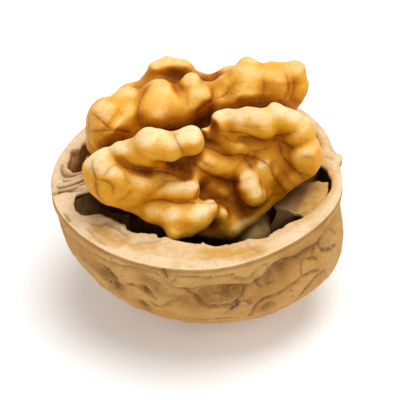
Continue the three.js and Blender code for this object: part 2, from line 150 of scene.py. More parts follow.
# Its rows of [x, y, height above the rim]: along the wall, the fold and the free edge
SHEET_ROWS = [
    [(17.2, -4.7, -0.8), (15.8, -7.9, -1.1), (13, -10, -1.6)],
    [(15.1, -3.5, -1.3), (13.6, -6.2, -1.6), (12, -8.3, -2.4)],
    [(12.6, -1.6, -3), (10.9, -3.4, -3.2), (9.6, -5, -3.4)],
]

# How far the kernel's lobes melt together, and how far slow waves move them
CREASE = 1.05
BACK_CREASE = 1.6
CLEFT_CREASE = 0.6
LOBE_WAVE = 0.06
# The lobes: round-ended bars, [x, y, h] to [x, y, h] with a radius at each end, h above the rim
FRONT_LOBES = [
    # body of the half, behind its folds
    [-11, -4, 5, -2, -3.2, 4, 2.6, 2.6],
    [-2, -2.4, 4, 11, -1.6, 5, 2.4, 2.6],
    [-10, -5, 2.5, -2, -5, 0, 2.2, 2.6],
    [-4, -4, -1, 8, -2.6, 0, 3, 2.8],
    [4, -3.4, -1, 11, -2.6, 2, 2.4, 2.2],
    [-8, -2.6, 2, 12, -1.2, 3, 2.8, 2.6],
    [-10.4, -3.6, 7, -1, -3, 6.4, 2, 1.8],
    [-1, -2.4, 6.2, 12, -1.6, 7.2, 1.8, 2],
    # three knobs of the left crest
    [-7.8, -5.4, 11.2, -7.4, -5.4, 11, 2.1, 2.1],
    [-5.3, -5.7, 10.5, -4.8, -5.7, 10.4, 1.9, 1.9],
    [-2.4, -5.2, 10.5, -2.2, -5, 10.4, 2, 2],
    # leaf-shaped shoulder below them
    [-11.4, -4.6, 9.8, -9.6, -5, 9.6, 1.4, 1.7],
    [-9.6, -5, 9.4, -6.6, -5.4, 7.8, 1.7, 1],
    # left pad
    [-13.8, -5.4, 7, -11.6, -5.6, 5.4, 2.8, 3],
    [-13.2, -6.2, 4.8, -11.4, -6.2, 4, 2.2, 2.2],
    [-15.6, -4.6, 6.6, -15, -5.2, 5.2, 1, 1.2],
    [-13.8, -4.6, 8.8, -15, -4.6, 7.6, 1.4, 1.4],
    # plain between the pad and the fingers
    [-9.8, -5.6, 4.6, -6.6, -5, 4, 2.8, 2.3],
    [-10, -6, 3, -6.6, -6.2, 2.4, 1.9, 1.7],
    # finger in the middle
    [-6.4, -6.8, 3.8, -3.4, -7.4, 3.6, 1.4, 1.7],
    [-5, -6.6, 4.2, -3, -7.4, 4, 1.2, 1.5],
    [-6.6, -5.2, 5.4, -2.6, -5.2, 4.4, 1.6, 1.7],
    # low lobe that hangs over the rim
    [-9, -6.6, 2.6, -4.6, -7.8, 2.2, 1.2, 1.3],
    [-10.8, -6.6, 2, -8, -8, 1.2, 0.8, 1.2],
    [-8, -8, 1.2, -5.8, -9, 1, 1.2, 1.8],
    [-4.8, -9.4, 0.8, -2.2, -9.4, 0.8, 1.9, 2.1],
    [-2, -9.2, 0.8, -0.6, -8.6, 1, 1.9, 1.2],
    [-0.4, -8.3, 0.9, 1.2, -7.9, -0.7, 1.1, 1],
    [1.2, -7.9, -0.7, 1.3, -8.1, -2, 1, 0.9],
    [-3.8, -10.2, -0.4, -5.4, -10.8, -0.4, 1.4, 1.1],
    # scoop: the upper sheet, then the hollow under it
    [-1.2, -3.8, 5.6, 3.2, -3.4, 3.8, 1.7, 1.9],
    [-2.6, -4, 4.2, 0, -4, 2.6, 1.9, 1.4],
    [1, -3.2, -0.4, 4.2, -2.8, -1.6, 1.7, 1.7],
    [-1.6, -5.4, -0.8, 5, -4.4, -3, 1.2, 1.4],
    [0.2, -4.2, 1.4, 3.4, -4.4, -0.6, 1.6, 1.5],
    [2, -5.4, -1.6, 5.6, -5.4, -2.6, 1.3, 1.2],
    [0.2, -6.6, -1.2, 3.6, -6.8, -3.2, 1.2, 1.1],
    [4, -4.6, -1.2, 7.5, -4.8, -1.2, 1.5, 1.2],
    [1.6, -7.8, -2.8, 3, -8.2, -4, 1.1, 1],
    [-1.2, -7.6, -2.8, 2, -7.8, -4.2, 1.4, 1.3],
    [1, -7.2, -1.8, 3.4, -7.2, -3.2, 1.3, 1.2],
    [3, -6.1, -2.4, 6.6, -5.6, -2.2, 1.2, 1.1],
    # right crest: nose, two rolls and the shoulder
    [2.8, -2, 10.6, 4, -2, 10.6, 1.4, 1.5],
    [2.8, -2.4, 9.2, 4.4, -3, 7, 1.3, 1.3],
    [6.2, -2, 10.8, 7, -2.2, 10.5, 1.5, 1.6],
    [9.3, -2.3, 10.3, 10.2, -2.2, 10.3, 1.5, 1.9],
    [5, -2.9, 9.9, 8.8, -3.2, 9.2, 1.1, 1.3],
    [12, -2.5, 9.3, 13, -2.8, 8, 1.8, 1.9],
    [13.4, -2.8, 7.6, 14.4, -3.2, 5.2, 1.8, 1.7],
    [0.4, -2.4, 9.4, 2.6, -2, 9, 0.7, 0.8],
    # right end
    [13.4, -4.4, 4.6, 14.2, -4, 3.4, 1.9, 1.9],
    [13.6, -4.4, 2.8, 11.4, -4.6, 0.6, 1.7, 1.3],
    [15, -3.4, 3.4, 14.2, -4, 2.2, 1.4, 1.3],
    [13.8, -3.4, 4.8, 13.6, -2.8, 5.2, 2.1, 1.8],
    [11.6, -4.6, 1.2, 13, -4.4, 1.2, 1.2, 1.1],
    [10.2, -4.8, -0.2, 11, -4.8, 0.4, 0.8, 1],
    # floor under the right crest
    [4.2, -2.6, 6.2, 9.4, -2.2, 5.2, 1.2, 1.2],
    [8.2, -3.2, 4.2, 11.2, -3.2, 3.4, 1.2, 1.7],
    [4.8, -3.6, 4.4, 5.6, -4.4, 3.4, 1, 1],
    # two fingers side by side, with a pit over them
    [5.6, -5.4, 3, 6, -6.8, 1, 1.3, 1.5],
    [5.8, -6, 2, 6.4, -6.4, 1.2, 1.6, 1.6],
    [7.2, -5, 2.4, 8.4, -4.8, -0.4, 1.2, 1.3],
    [7.8, -4.6, 4, 8.4, -5.2, 2.4, 1, 1],
    [8.4, -5.2, 1.2, 7.6, -5.8, 0, 0.8, 1],
    [9.4, -4.2, 2.4, 10, -4.4, 0.4, 1.4, 1.3],
    # lower right edge, sinking into the shell
    [10.2, -4.6, -1.4, 7.6, -5.8, -2.2, 0.8, 0.9],
    [7.6, -5.8, -2.2, 5.6, -6.8, -3.3, 0.9, 0.9],
    [5.6, -6.8, -3.3, 3.2, -8.4, -3.8, 0.9, 1],
]
BACK_LOBES = [
    # body of the half
    [-11, 6, 3.5, 11, 6, 4.5, 3.6, 3.8],
    [-5, 9, 4, 6, 9, 5, 3.4, 3.6],
    [-9.4, 6.8, 7, -6, 7, 7.2, 1.8, 1.8],
    # left lobe
    [-11.8, 4, 8.2, -11, 3.6, 7.6, 2.4, 2.8],
    [-12.4, 2.6, 6.4, -9.8, 2.4, 5.4, 1.9, 2.1],
    [-11.8, 4.6, 9.1, -10.8, 5.4, 9.2, 1.4, 1.3],
    [-11, 3, 4.4, -7.4, 3.6, 4.8, 1.9, 1.8],
    # knob and the bulge beside it
    [-8.5, 6, 10, -8.4, 5.2, 9, 1.7, 1.8],
    [-9.6, 4, 8, -8.6, 3, 6.8, 1.9, 1.7],
    [-4.2, 6, 8.8, -3, 5, 7.8, 3, 2.9],
    [-4.8, 4, 8, -2.4, 4, 7.2, 2.8, 2.5],
    # second knob
    [0.2, 6.6, 10.6, 0.4, 6, 9.4, 1.5, 1.7],
    [1.2, 5, 9, 0.6, 4.4, 8.2, 1.9, 1.9],
    [2.4, 6.4, 9, 2.4, 5.6, 8.2, 1.1, 1.1],
    # broad right lobe, with a small horn
    [5.4, 6.4, 9.2, 6.4, 6, 8.6, 1.9, 2.8],
    [4.4, 4.4, 7.8, 7.2, 4, 7.4, 1.9, 1.9],
    [8.4, 6.2, 9.6, 8.2, 5, 8.6, 3, 2.8],
    [8.4, 7.6, 12, 8, 7, 11.2, 0.8, 1.4],
    [11.8, 6.4, 9.2, 11.6, 5.2, 7.6, 2.8, 2.6],
    [14.8, 7, 9.8, 15, 6.4, 8.4, 1.8, 1.8],
    [14, 5.2, 7.4, 13.6, 4.8, 6.8, 1.4, 1.1],
    # curl that shows over the crest, and its root
    [-4, 9.2, 7.6, 0.4, 9.2, 7.8, 1.7, 1.7],
    [-4.6, 9.6, 9.4, -3.8, 10.3, 11, 0.8, 0.8],
    [-3.8, 10.3, 11, -2.2, 10.7, 11.2, 0.8, 0.8],
    [-2.2, 10.7, 11.2, 0, 10.3, 10.8, 0.8, 0.8],
    [0, 10.3, 10.8, 1, 9.2, 9.2, 0.8, 0.9],
    [-3.4, 11.2, 9.4, 0, 11, 9.4, 1, 1],
    # folds down the outer face
    [-11.4, 7.6, 6.4, -11.8, 9.2, 1.6, 2.4, 2.2],
    [-7.4, 9.4, 6.8, -8.6, 11, 3.6, 2.4, 2],
    [-8, 10.6, 2.6, -5.4, 12, -0.4, 2, 2.2],
    [-3.4, 10, 7.8, -1.6, 12.2, 3.4, 2.4, 2.2],
    [-1.8, 12.6, 2, -2.6, 12.4, -1.4, 1.9, 2.2],
    [2, 10.6, 6.6, 4.2, 12.4, 3, 2.2, 2],
    [3.4, 12.8, 1, 6, 11.8, -1.6, 2.2, 2.2],
    [7, 9.4, 7.4, 9.4, 10.4, 3.8, 2.6, 2.2],
    [10, 10.2, 2.2, 10.6, 9.4, -0.8, 2.2, 2],
    [12.4, 7.6, 6.4, 12.8, 8, 2.6, 2.3, 2.2],
]
LOWER_LOBES = [
    [-5, -0.4, -6.4, 7, -1.4, -6.4, 3.6, 3.6],
    [-9, 6, -4, 9, 6, -4, 5.2, 5.4],
    [-4, -0.6, -12.2, 4, -1, -12.2, 4.1, 4.1],
    [-4.4, 4.2, -11, 5.2, 4.2, -11, 4.6, 4.6],
    [-9, 2, -1, 9, 2, -1, 3.6, 3.6],
    # pale lobe that shows in the gap at the right
    [6, -6.4, -6.8, 7, -5.6, -7.2, 2.3, 2.1],
]
# The pale lobe's middle and edge, and the depths over which the skin gets painted shade inside the shell
PALE_LOBE = (6.5, -6, -7)
PALE_REACH = (2.9, 3.4)
DEEP_SHADE_DEPTH = (1.5, 4.5)
# How open the skin lies, which paints shade into its creases and recesses: free distances looked at, in
# millimetres, and the weight of each
OPEN_REACHES = ((0.9, 0.25), (2.6, 0.35), (5.5, 0.4))
# Painted shade in tight creases: how far out the skin is looked at, and where and how strongly it darkens
CREASE_REACH = 0.5
CREASE_SHADE = {"range": (0.2, 0.75), "strength": 0.55}
# Where the skin is pale, as paler crests and as a painted highlight on what faces up: slope, roundness and
# openness, and less so on the back half
PALE_CREST_AND_HIGHLIGHT = {"slope": (0.05, 0.95), "round": (-0.3, 0.9), "least": 0.35, "open": (0.45, 0.85)}
PALE_CREST_AND_HIGHLIGHT_BACK = {"from": (0, 3), "loss": 0.4}
# Painted shade in concave hollows: the roundness where it fades, and how much openness it takes off
HOLLOW_SHADE = {"round": (-0.6, 0.35), "strength": 0.16}
LUMPS_OPEN = (0.3, 0.7)

# The photograph's view: 400 pixels square, with the rim's middle at RIM_PIXEL
ELEVATION = 41.0
AZIMUTH = -11.5
DISTANCE = 400.0
PIXELS_PER_MM = 7.27
FRAME_PIXELS = 400
RIM_PIXEL = (198.5, 174.0)
SENSOR = 36.0
CLIP_START = 0.01

# The kernel's main veins as the photograph shows them: strokes of pixels, with a strength for each
VEINS = [
    (0.9, [(110, 151), (114, 157), (119, 163), (127, 168), (140, 170), (152, 171), (163, 172), (175, 175),
           (185, 181)]),
    (0.6, [(112, 151), (118, 159), (126, 166), (138, 167), (150, 169), (160, 166)]),
    (0.7, [(92, 160), (92, 168), (95, 177), (96, 186), (98, 195), (104, 203)]),
    (0.6, [(95, 180), (102, 180), (108, 182), (113, 187), (113, 195)]),
    (0.5, [(104, 177), (108, 170), (113, 166), (118, 165)]),
    (0.5, [(118, 166), (124, 172), (126, 179), (132, 184)]),
    (0.5, [(132, 190), (126, 196), (118, 203)]),
    (0.8, [(143, 203), (155, 200), (165, 200), (175, 203), (190, 203), (197, 203), (205, 203)]),
    (0.6, [(155, 192), (160, 187), (167, 182), (175, 181)]),
    (0.6, [(173, 130), (177, 141), (181, 148), (185, 156)]),
    (0.9, [(189, 158), (197, 166), (206, 173), (218, 178), (230, 181), (240, 182)]),
    (0.7, [(195, 202), (197, 193), (203, 186), (212, 181)]),
    (0.6, [(200, 160), (208, 165), (215, 168)]),
    (1.0, [(222, 131), (231, 132), (240, 133), (250, 136), (258, 139), (264, 140), (272, 139), (280, 141),
           (288, 145), (293, 148)]),
    (0.7, [(264, 140), (275, 136), (285, 135), (296, 131)]),
    (0.8, [(278, 142), (281, 150), (283, 157), (290, 166), (297, 172), (305, 175), (311, 176)]),
    (0.7, [(297, 172), (302, 177), (308, 182)]),
    (0.7, [(224, 135), (230, 141), (238, 143)]),
    (0.9, [(205, 147), (214, 150), (222, 154), (232, 156), (243, 155), (255, 158), (263, 161), (270, 167),
           (274, 176), (280, 185), (286, 193)]),
    (0.6, [(243, 155), (252, 152), (262, 150), (272, 147)]),
    (0.7, [(243, 156), (248, 163), (252, 168)]),
    (0.6, [(260, 175), (261, 183), (263, 192), (262, 200)]),
    (0.4, [(236, 125), (250, 127), (262, 127), (275, 127)]),
    (0.4, [(281, 168), (287, 176), (291, 186)]),
    (0.5, [(300, 157), (307, 157), (313, 158)]),
    (0.6, [(205, 203), (215, 203), (225, 200), (233, 193)]),
    (0.4, [(220, 204), (228, 203), (240, 203)]),
    (0.7, [(88, 132), (100, 131), (112, 130), (122, 131), (130, 133), (137, 133)]),
    (0.7, [(92, 113), (98, 118), (103, 122), (108, 127), (116, 131)]),
    (0.8, [(150, 84), (143, 93), (139, 104), (138, 116), (141, 127)]),
    (0.5, [(188, 85), (187, 95), (188, 106)]),
    (0.8, [(213, 88), (212, 97), (207, 104), (198, 110), (196, 117)]),
    (0.6, [(229, 86), (227, 92), (221, 97), (213, 98)]),
    (0.5, [(262, 75), (264, 85), (263, 95), (260, 103)]),
    (0.7, [(285, 72), (288, 80), (288, 90), (284, 100)]),
    (0.6, [(292, 75), (294, 88), (290, 100)]),
]
# Veins in millimetres, the pixels between their points, and the part of a half wave they taper along
VEIN_WIDTH = 0.2
VEIN_REACH = 1.2
VEIN_DEPTH = 0.12
VEIN_PIXELS = 0.7
VEIN_ENDS = (0.08, 0.92)

# Lower edge of the suture band in the photograph, from left to right
BAND_EDGE = [
    (70, 234), (90, 249), (110, 259), (130, 265), (150, 269), (158, 272), (164, 277), (171, 284), (185, 286),
    (200, 285), (215, 284), (230, 284), (243, 284), (252, 281), (261, 275), (268, 268), (276, 262),
    (284, 259), (295, 256), (303, 251), (312, 243), (320, 236),
]
# Creases, hollows and ridges outside, as the photograph shows them: depth and half width in millimetres,
# how dark it is painted, as dirt and painted shade, and a stroke of pixels. Ridges have a negative depth.
OUTSIDE_STROKES = [
    # lines along the suture band, and its small tab
    (0.16, 0.2, 0.5, [(166, 270), (175, 273), (190, 274), (205, 275), (220, 274), (232, 272)]),
    (0.14, 0.2, 0.4, [(232, 275), (245, 277), (250, 273), (256, 267), (266, 261)]),
    (0.3, 0.28, 0.7, [(164, 268), (167, 274)]),
    (0.14, 0.2, 0.3, [(168, 275), (172, 281), (176, 276)]),
    # creases
    (0.35, 0.3, 0.6, [(183, 287), (190, 294), (197, 300), (206, 306), (220, 307), (232, 306), (238, 303)]),
    (0.25, 0.22, 0.6, [(238, 303), (243, 296), (247, 286)]),
    (0.3, 0.22, 0.8, [(255, 278), (258, 284), (262, 288)]),
    (0.22, 0.22, 0.5, [(262, 288), (270, 286), (278, 283)]),
    (0.25, 0.25, 0.5, [(262, 301), (275, 296), (285, 291), (295, 283), (303, 277), (312, 273), (320, 271)]),
    (0.3, 0.25, 0.5, [(301, 275), (302, 266), (304, 262), (308, 260), (316, 259)]),
    (0.25, 0.22, 0.45, [(313, 258), (313, 252), (314, 245)]),
    (0.3, 0.25, 0.8, [(318, 244), (322, 250), (327, 251), (333, 249), (336, 246)]),
    (0.22, 0.22, 0.5, [(316, 238), (325, 233), (331, 230), (336, 233)]),
    (0.25, 0.2, 0.6, [(339, 212), (341, 222)]),
    (0.2, 0.2, 0.4, [(344, 224), (345, 231)]),
    (0.25, 0.25, 0.6, [(128, 285), (135, 287), (142, 291), (148, 296), (155, 299)]),
    (0.2, 0.3, 0.4, [(150, 303), (158, 307), (166, 306), (176, 300), (184, 298)]),
    (0.25, 0.25, 0.5, [(250, 317), (256, 308), (262, 301)]),
    (0.2, 0.25, 0.4, [(200, 321), (225, 318), (240, 319)]),
    (0.15, 0.2, 0.3, [(98, 252), (105, 262), (111, 269)]),
    (0.15, 0.2, 0.5, [(84, 258), (88, 262)]),
    (0.25, 0.3, 0.5, [(95, 283), (105, 292)]),
    (0.25, 0.3, 0.35, [(296, 302), (305, 291), (315, 281), (325, 272)]),
    # hollows
    (0.55, 1.3, 0.75, [(104, 273), (110, 279), (115, 285)]),
    (0.25, 1.4, 0.35, [(146, 279), (154, 286)]),
    (0.4, 0.6, 0.6, [(142, 289), (148, 294)]),
    (0.45, 0.7, 0.6, [(141, 304), (146, 309), (146, 314)]),
    (0.7, 1.5, 0.5, [(205, 296), (220, 294), (234, 292)]),
    (0.4, 0.8, 0.4, [(212, 288), (240, 288)]),
    (0.6, 1.5, 0.45, [(270, 278), (276, 270), (283, 266)]),
    (0.35, 0.8, 0.6, [(266, 308), (270, 306)]),
    (0.35, 1.1, 0.15, [(326, 241), (331, 240)]),
    (0.3, 1.2, 0.3, [(176, 299), (186, 300)]),
    (0.3, 1, 0.25, [(298, 257), (304, 252)]),
    # ridges
    (-0.3, 0.5, 0, [(259, 284), (261, 292), (258, 298), (251, 304)]),
    (-0.25, 0.5, 0, [(320, 262), (321, 254), (319, 248)]),
    (-0.2, 0.5, 0, [(112, 266), (120, 274), (124, 282)]),
    (-0.2, 0.5, 0, [(298, 278), (299, 268), (300, 262)]),
]
STROKE_GAIN = 1.35
DARK_GAIN = 1.2
# The creases are repeated on the back, turned over and a little flatter
FAR_TURN = 9
FAR_SHRINK = 0.93
SMEAR = (0.4, [(226, 313), (235, 308), (240, 305), (250, 302)])
# Inner edges of the ledge in the photograph: the left opening, then the front
LEFT_OPENING = [
    (92, 131), (88, 140), (82, 144), (80, 148), (72, 149), (70, 153), (70, 158), (67, 166), (70, 170),
    (75, 173),
]
FRONT_OPENING = [
    (77, 194), (74, 198), (74, 206), (80, 213), (88, 214), (100, 213), (108, 216), (118, 221),
    (124, 223), (127, 228), (135, 231), (150, 232), (157, 233), (158, 236), (165, 236), (178, 239),
    (190, 241), (200, 242), (203, 240), (206, 243), (215, 244), (228, 243), (238, 241), (245, 238),
    (250, 237), (262, 237), (275, 230), (290, 222), (300, 218), (308, 213), (318, 205), (326, 196),
    (331, 188), (332, 180),
]
# Strokes on the rim's broken face, in the same form as the outside ones
RIM_STROKES = [
    (0.25, 0.25, 0.6, [(93, 223), (100, 224), (107, 222)]),
    (0.2, 0.22, 0.55, [(109, 224), (118, 229), (124, 233)]),
    (0.22, 0.22, 0.5, [(121, 239), (128, 242), (135, 243), (142, 241), (150, 241), (160, 239)]),
    (0.3, 0.2, 0.7, [(65, 214), (70, 221)]),
    (0.3, 0.22, 0.7, [(54, 194), (62, 190)]),
    (0.3, 0.22, 0.5, [(58, 189), (64, 188), (72, 186), (80, 183)]),
    (0.25, 0.2, 0.4, [(64, 183), (72, 181), (80, 180)]),
    (0.25, 0.2, 0.4, [(60, 178), (70, 178), (78, 177)]),
    # folds at the left end, which stand up
    (-0.4, 0.3, 0, [(60, 185), (70, 183), (84, 179)]),
    (-0.35, 0.28, 0, [(62, 180), (74, 179), (86, 176)]),
    (-0.3, 0.5, 0, [(80, 178), (86, 177)]),
    (-0.25, 0.3, 0, [(62, 193), (70, 191), (78, 188)]),
    # loose flakes on the front ledge
    (-0.3, 0.35, 0, [(92, 218), (104, 218), (112, 221), (122, 227)]),
    (-0.25, 0.3, 0, [(112, 228), (122, 235), (132, 239), (146, 237)]),
    (0.2, 0.2, 0.4, [(88, 228), (94, 236), (104, 244)]),
    (0.15, 0.18, 0.3, [(150, 236), (160, 242), (170, 241)]),
    (0.2, 0.25, 0.4, [(246, 240), (250, 246), (258, 250)]),
    (0.2, 0.25, 0.4, [(333, 160), (325, 158), (318, 158)]),
]
# Loose strands at the left end: radius in millimetres, how brown, and [pixel, pixel, height above the rim]
STRANDS = [
    (0.3, 0.6, [(62, 165, 0.2), (63, 170, 0.5), (67, 174, 0.6), (73, 175, 0.5), (79, 174, 0.5),
                (85, 172, 0.6)]),
    (0.36, 0.1, [(57, 187, -0.1), (66, 185, 0.3), (75, 182, 0.4), (84, 178, 0.3)]),
    (0.32, 0.2, [(62, 180, 0), (71, 180, 0.35), (80, 177, 0.5), (87, 175, 0.3)]),
    (0.3, 0.3, [(59, 191, -0.1), (69, 189, 0.15), (78, 186, 0.15), (84, 183, 0)]),
    (0.18, 0.7, [(87, 166, 0.4), (86, 161, 1), (88, 157, 1.4), (92, 157, 1.4), (94, 160, 1),
                 (92, 163, 0.7)]),
]
STRAND_SIDES = 8
STRAND_ENDS = {"from": 0.12, "to": 0.88, "power": 0.4}
# Stains on the rim: half width in millimetres, strength and a stroke of pixels
RIM_STAINS = [
    (1.3, 0.75, [(99, 230), (106, 237), (116, 242)]),
    (0.8, 0.5, [(134, 246), (152, 244)]),
    (0.5, 0.7, [(126, 234), (128, 238)]),
    (1.3, 0.8, [(206, 253), (225, 252), (245, 252), (258, 250)]),
    (0.6, 0.9, [(245, 256), (256, 252), (262, 250)]),
]
# A traced edge passes over to the plain shape within this many degrees
EDGE_FADE = 3

# Studio: lights with place and size in metres and power in watts
LIGHTS = [
    ("key", (0.08, 0.06, 0.55), 0.45, 2.8),
    ("front", (-0.32, -0.38, 0.42), 0.4, 0.5),
    ("side", (0.45, -0.25, 0.4), 0.3, 0.45),
]
WORLD_STRENGTH = 0.32
FLOOR_REACH = 3.0
FLOOR_GLOW = 0.18


# Shared arithmetic

def smoothstep(value, low, high):
    share = np.clip((value - low) / (high - low), 0, 1)
    return share * share * (3 - 2 * share)


def turned(degrees):
    """An angle or angles brought to -180 to 180."""
    return (degrees + 180) % 360 - 180


def bumps_at(bumps, degrees):
    """The sum of bell-shaped rises at angles in degrees."""
    return sum(rise * bell(turned(degrees - at), spread) for at, spread, rise in bumps)


def draw(index, salt):
    """A repeatable number from 0 to 1."""
    wave = np.sin(index * 12.9898 + salt * 78.233) * 43758.5453
    return wave - np.floor(wave)


def noise_at(points, size, offset=0.0):
    """Smooth noise from about -1 to 1 at points in millimetres, with bumps of about that size."""
    scaled = points.reshape(-1, 3) / size + offset
    values = [noise.noise(Vector(place)) for place in scaled]
    return np.array(values).reshape(points.shape[:-1])


def rough_at(points, layers):
    """Roughness at points: the sum of a few layers of noise."""
    return sum(height * noise_at(points, size, offset) for height, size, offset in layers)


def bell(away, width):
    """A rise of 1 that fades within about that width."""
    return np.exp(-((away / width) ** 2))


def at_least(least, share):
    """A share from 0 to 1 brought to the range from least to 1."""
    return least + (1 - least) * share


def spread_points(count, salt):
    """Points spread over the lower half of a unit sphere by the golden angle, each moved a little."""
    index = np.arange(count)
    height = -(index + 0.5) / count + 0.06 * (draw(index, salt) - 0.5)
    turn = index * GOLDEN_ANGLE + 0.5 * (draw(index, salt + 1) - 0.5)
    radius = np.sqrt(1 - np.minimum(1, height ** 2))
    return np.stack([radius * np.cos(turn), radius * np.sin(turn), height], axis=-1)


def nearest_two(points, middles):
    """Distances to the nearest and second nearest middle, and which is nearest, along the sphere's chord."""
    size = np.linalg.norm(points, axis=-1)
    unit = points / size[..., None]
    away = np.sqrt(np.maximum(2 - 2 * unit @ middles.T, 0)) * size[..., None]
    two = np.partition(away, 1, axis=-1)
    return two[..., 0], two[..., 1], np.argmin(away, axis=-1)


def make_piece(name, vertices, faces, attributes, material):
    """A smooth mesh piece from vertices in millimetres, with one float attribute for each name given."""
    mesh = bpy.data.meshes.new(name)
    mesh.from_pydata((vertices * MM).tolist(), [], faces)
    for key, values in attributes.items():
        layer = mesh.attributes.new(key, "FLOAT", "POINT")
        layer.data.foreach_set("value", np.ascontiguousarray(values, np.float32))
    mesh.polygons.foreach_set("use_smooth", [True] * len(mesh.polygons))
    mesh.materials.append(material)
    mesh.update()
    piece = bpy.data.objects.new(name, mesh)
    bpy.context.scene.collection.objects.link(piece)
    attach(piece, "root")
    return piece


def traced(pixels, gap=1.0):
    """Points about that many pixels apart along a smooth curve through a stroke of pixels."""
    knots = np.array([pixels[0], *pixels, pixels[-1]], float)
    points = []
    for before, first, second, after in zip(knots, knots[1:], knots[2:], knots[3:]):
        steps = max(int(np.linalg.norm(second - first) / gap), 1)
        share = np.arange(steps)[:, None] / steps
        bend = (2 * before - 5 * first + 4 * second - after) * share ** 2
        bend = bend + (3 * first - before - 3 * second + after) * share ** 3
        points += list(first + 0.5 * ((second - before) * share + bend))
    return points + [knots[-1]]


def laid_on(tree, pixels, gap=1.0):
    """A stroke of pixels laid on a surface along the lines of sight, as points in millimetres."""
    hits = [tree.ray_cast(*pixel_ray(pixel))[0] for pixel in traced(pixels, gap)]
    return np.array([hit for hit in hits if hit is not None]).reshape(-1, 3)


def laid_level(pixels, height):
    """A stroke of pixels laid on the level plane at that height."""
    rays = [pixel_ray(pixel) for pixel in traced(pixels)]
    return np.array([start + way * ((height - start.z) / way.z) for start, way in rays])


def away_from(places, stroke):
    """Distance of each place from the nearest point of a stroke."""
    flat = places.reshape(-1, 3)
    away = np.full(len(flat), np.inf)
    for point in stroke:
        away = np.minimum(away, np.linalg.norm(flat - point, axis=1))
    return away.reshape(places.shape[:-1])


# Camera

def camera_axes():
    """Unit vectors from the object to the camera, to the right and up in the picture."""
    azimuth, elevation = math.radians(AZIMUTH), math.radians(ELEVATION)
    back = Vector((math.sin(azimuth) * math.cos(elevation), -math.cos(azimuth) * math.cos(elevation),
                   math.sin(elevation)))
    right = Vector((math.cos(azimuth), math.sin(azimuth), 0))
    return back, right, back.cross(right)


def camera_aim():
    """The point in millimetres that the middle of the picture looks at."""
    _, right, up = camera_axes()
    middle = FRAME_PIXELS / 2
    across = (middle - RIM_PIXEL[0]) / PIXELS_PER_MM
    rise = (RIM_PIXEL[1] - middle) / PIXELS_PER_MM
    return Vector((0, 0, DEPTH)) + right * across + up * rise


def pixel_ray(pixel):
    """Start and direction, in millimetres, of the line of sight through a pixel of the photograph."""
    back, right, up = camera_axes()
    middle = FRAME_PIXELS / 2
    start = camera_aim() + back * DISTANCE
    across = (pixel[0] - middle) / PIXELS_PER_MM
    rise = (middle - pixel[1]) / PIXELS_PER_MM
    return start, (right * across + up * rise - back * DISTANCE).normalized()


def make_camera():
    back, _, _ = camera_axes()
    data = bpy.data.cameras.new("camera")
    data.sensor_width = SENSOR
    data.lens = SENSOR * DISTANCE * PIXELS_PER_MM / FRAME_PIXELS
    data.clip_start = CLIP_START
    camera = bpy.data.objects.new("camera", data)
    camera.location = (camera_aim() + back * DISTANCE) * MM
    camera.rotation_mode = "QUATERNION"
    camera.rotation_quaternion = (-back).to_track_quat("-Z", "Y")
    bpy.context.scene.collection.objects.link(camera)
    bpy.context.scene.camera = camera


# Materials

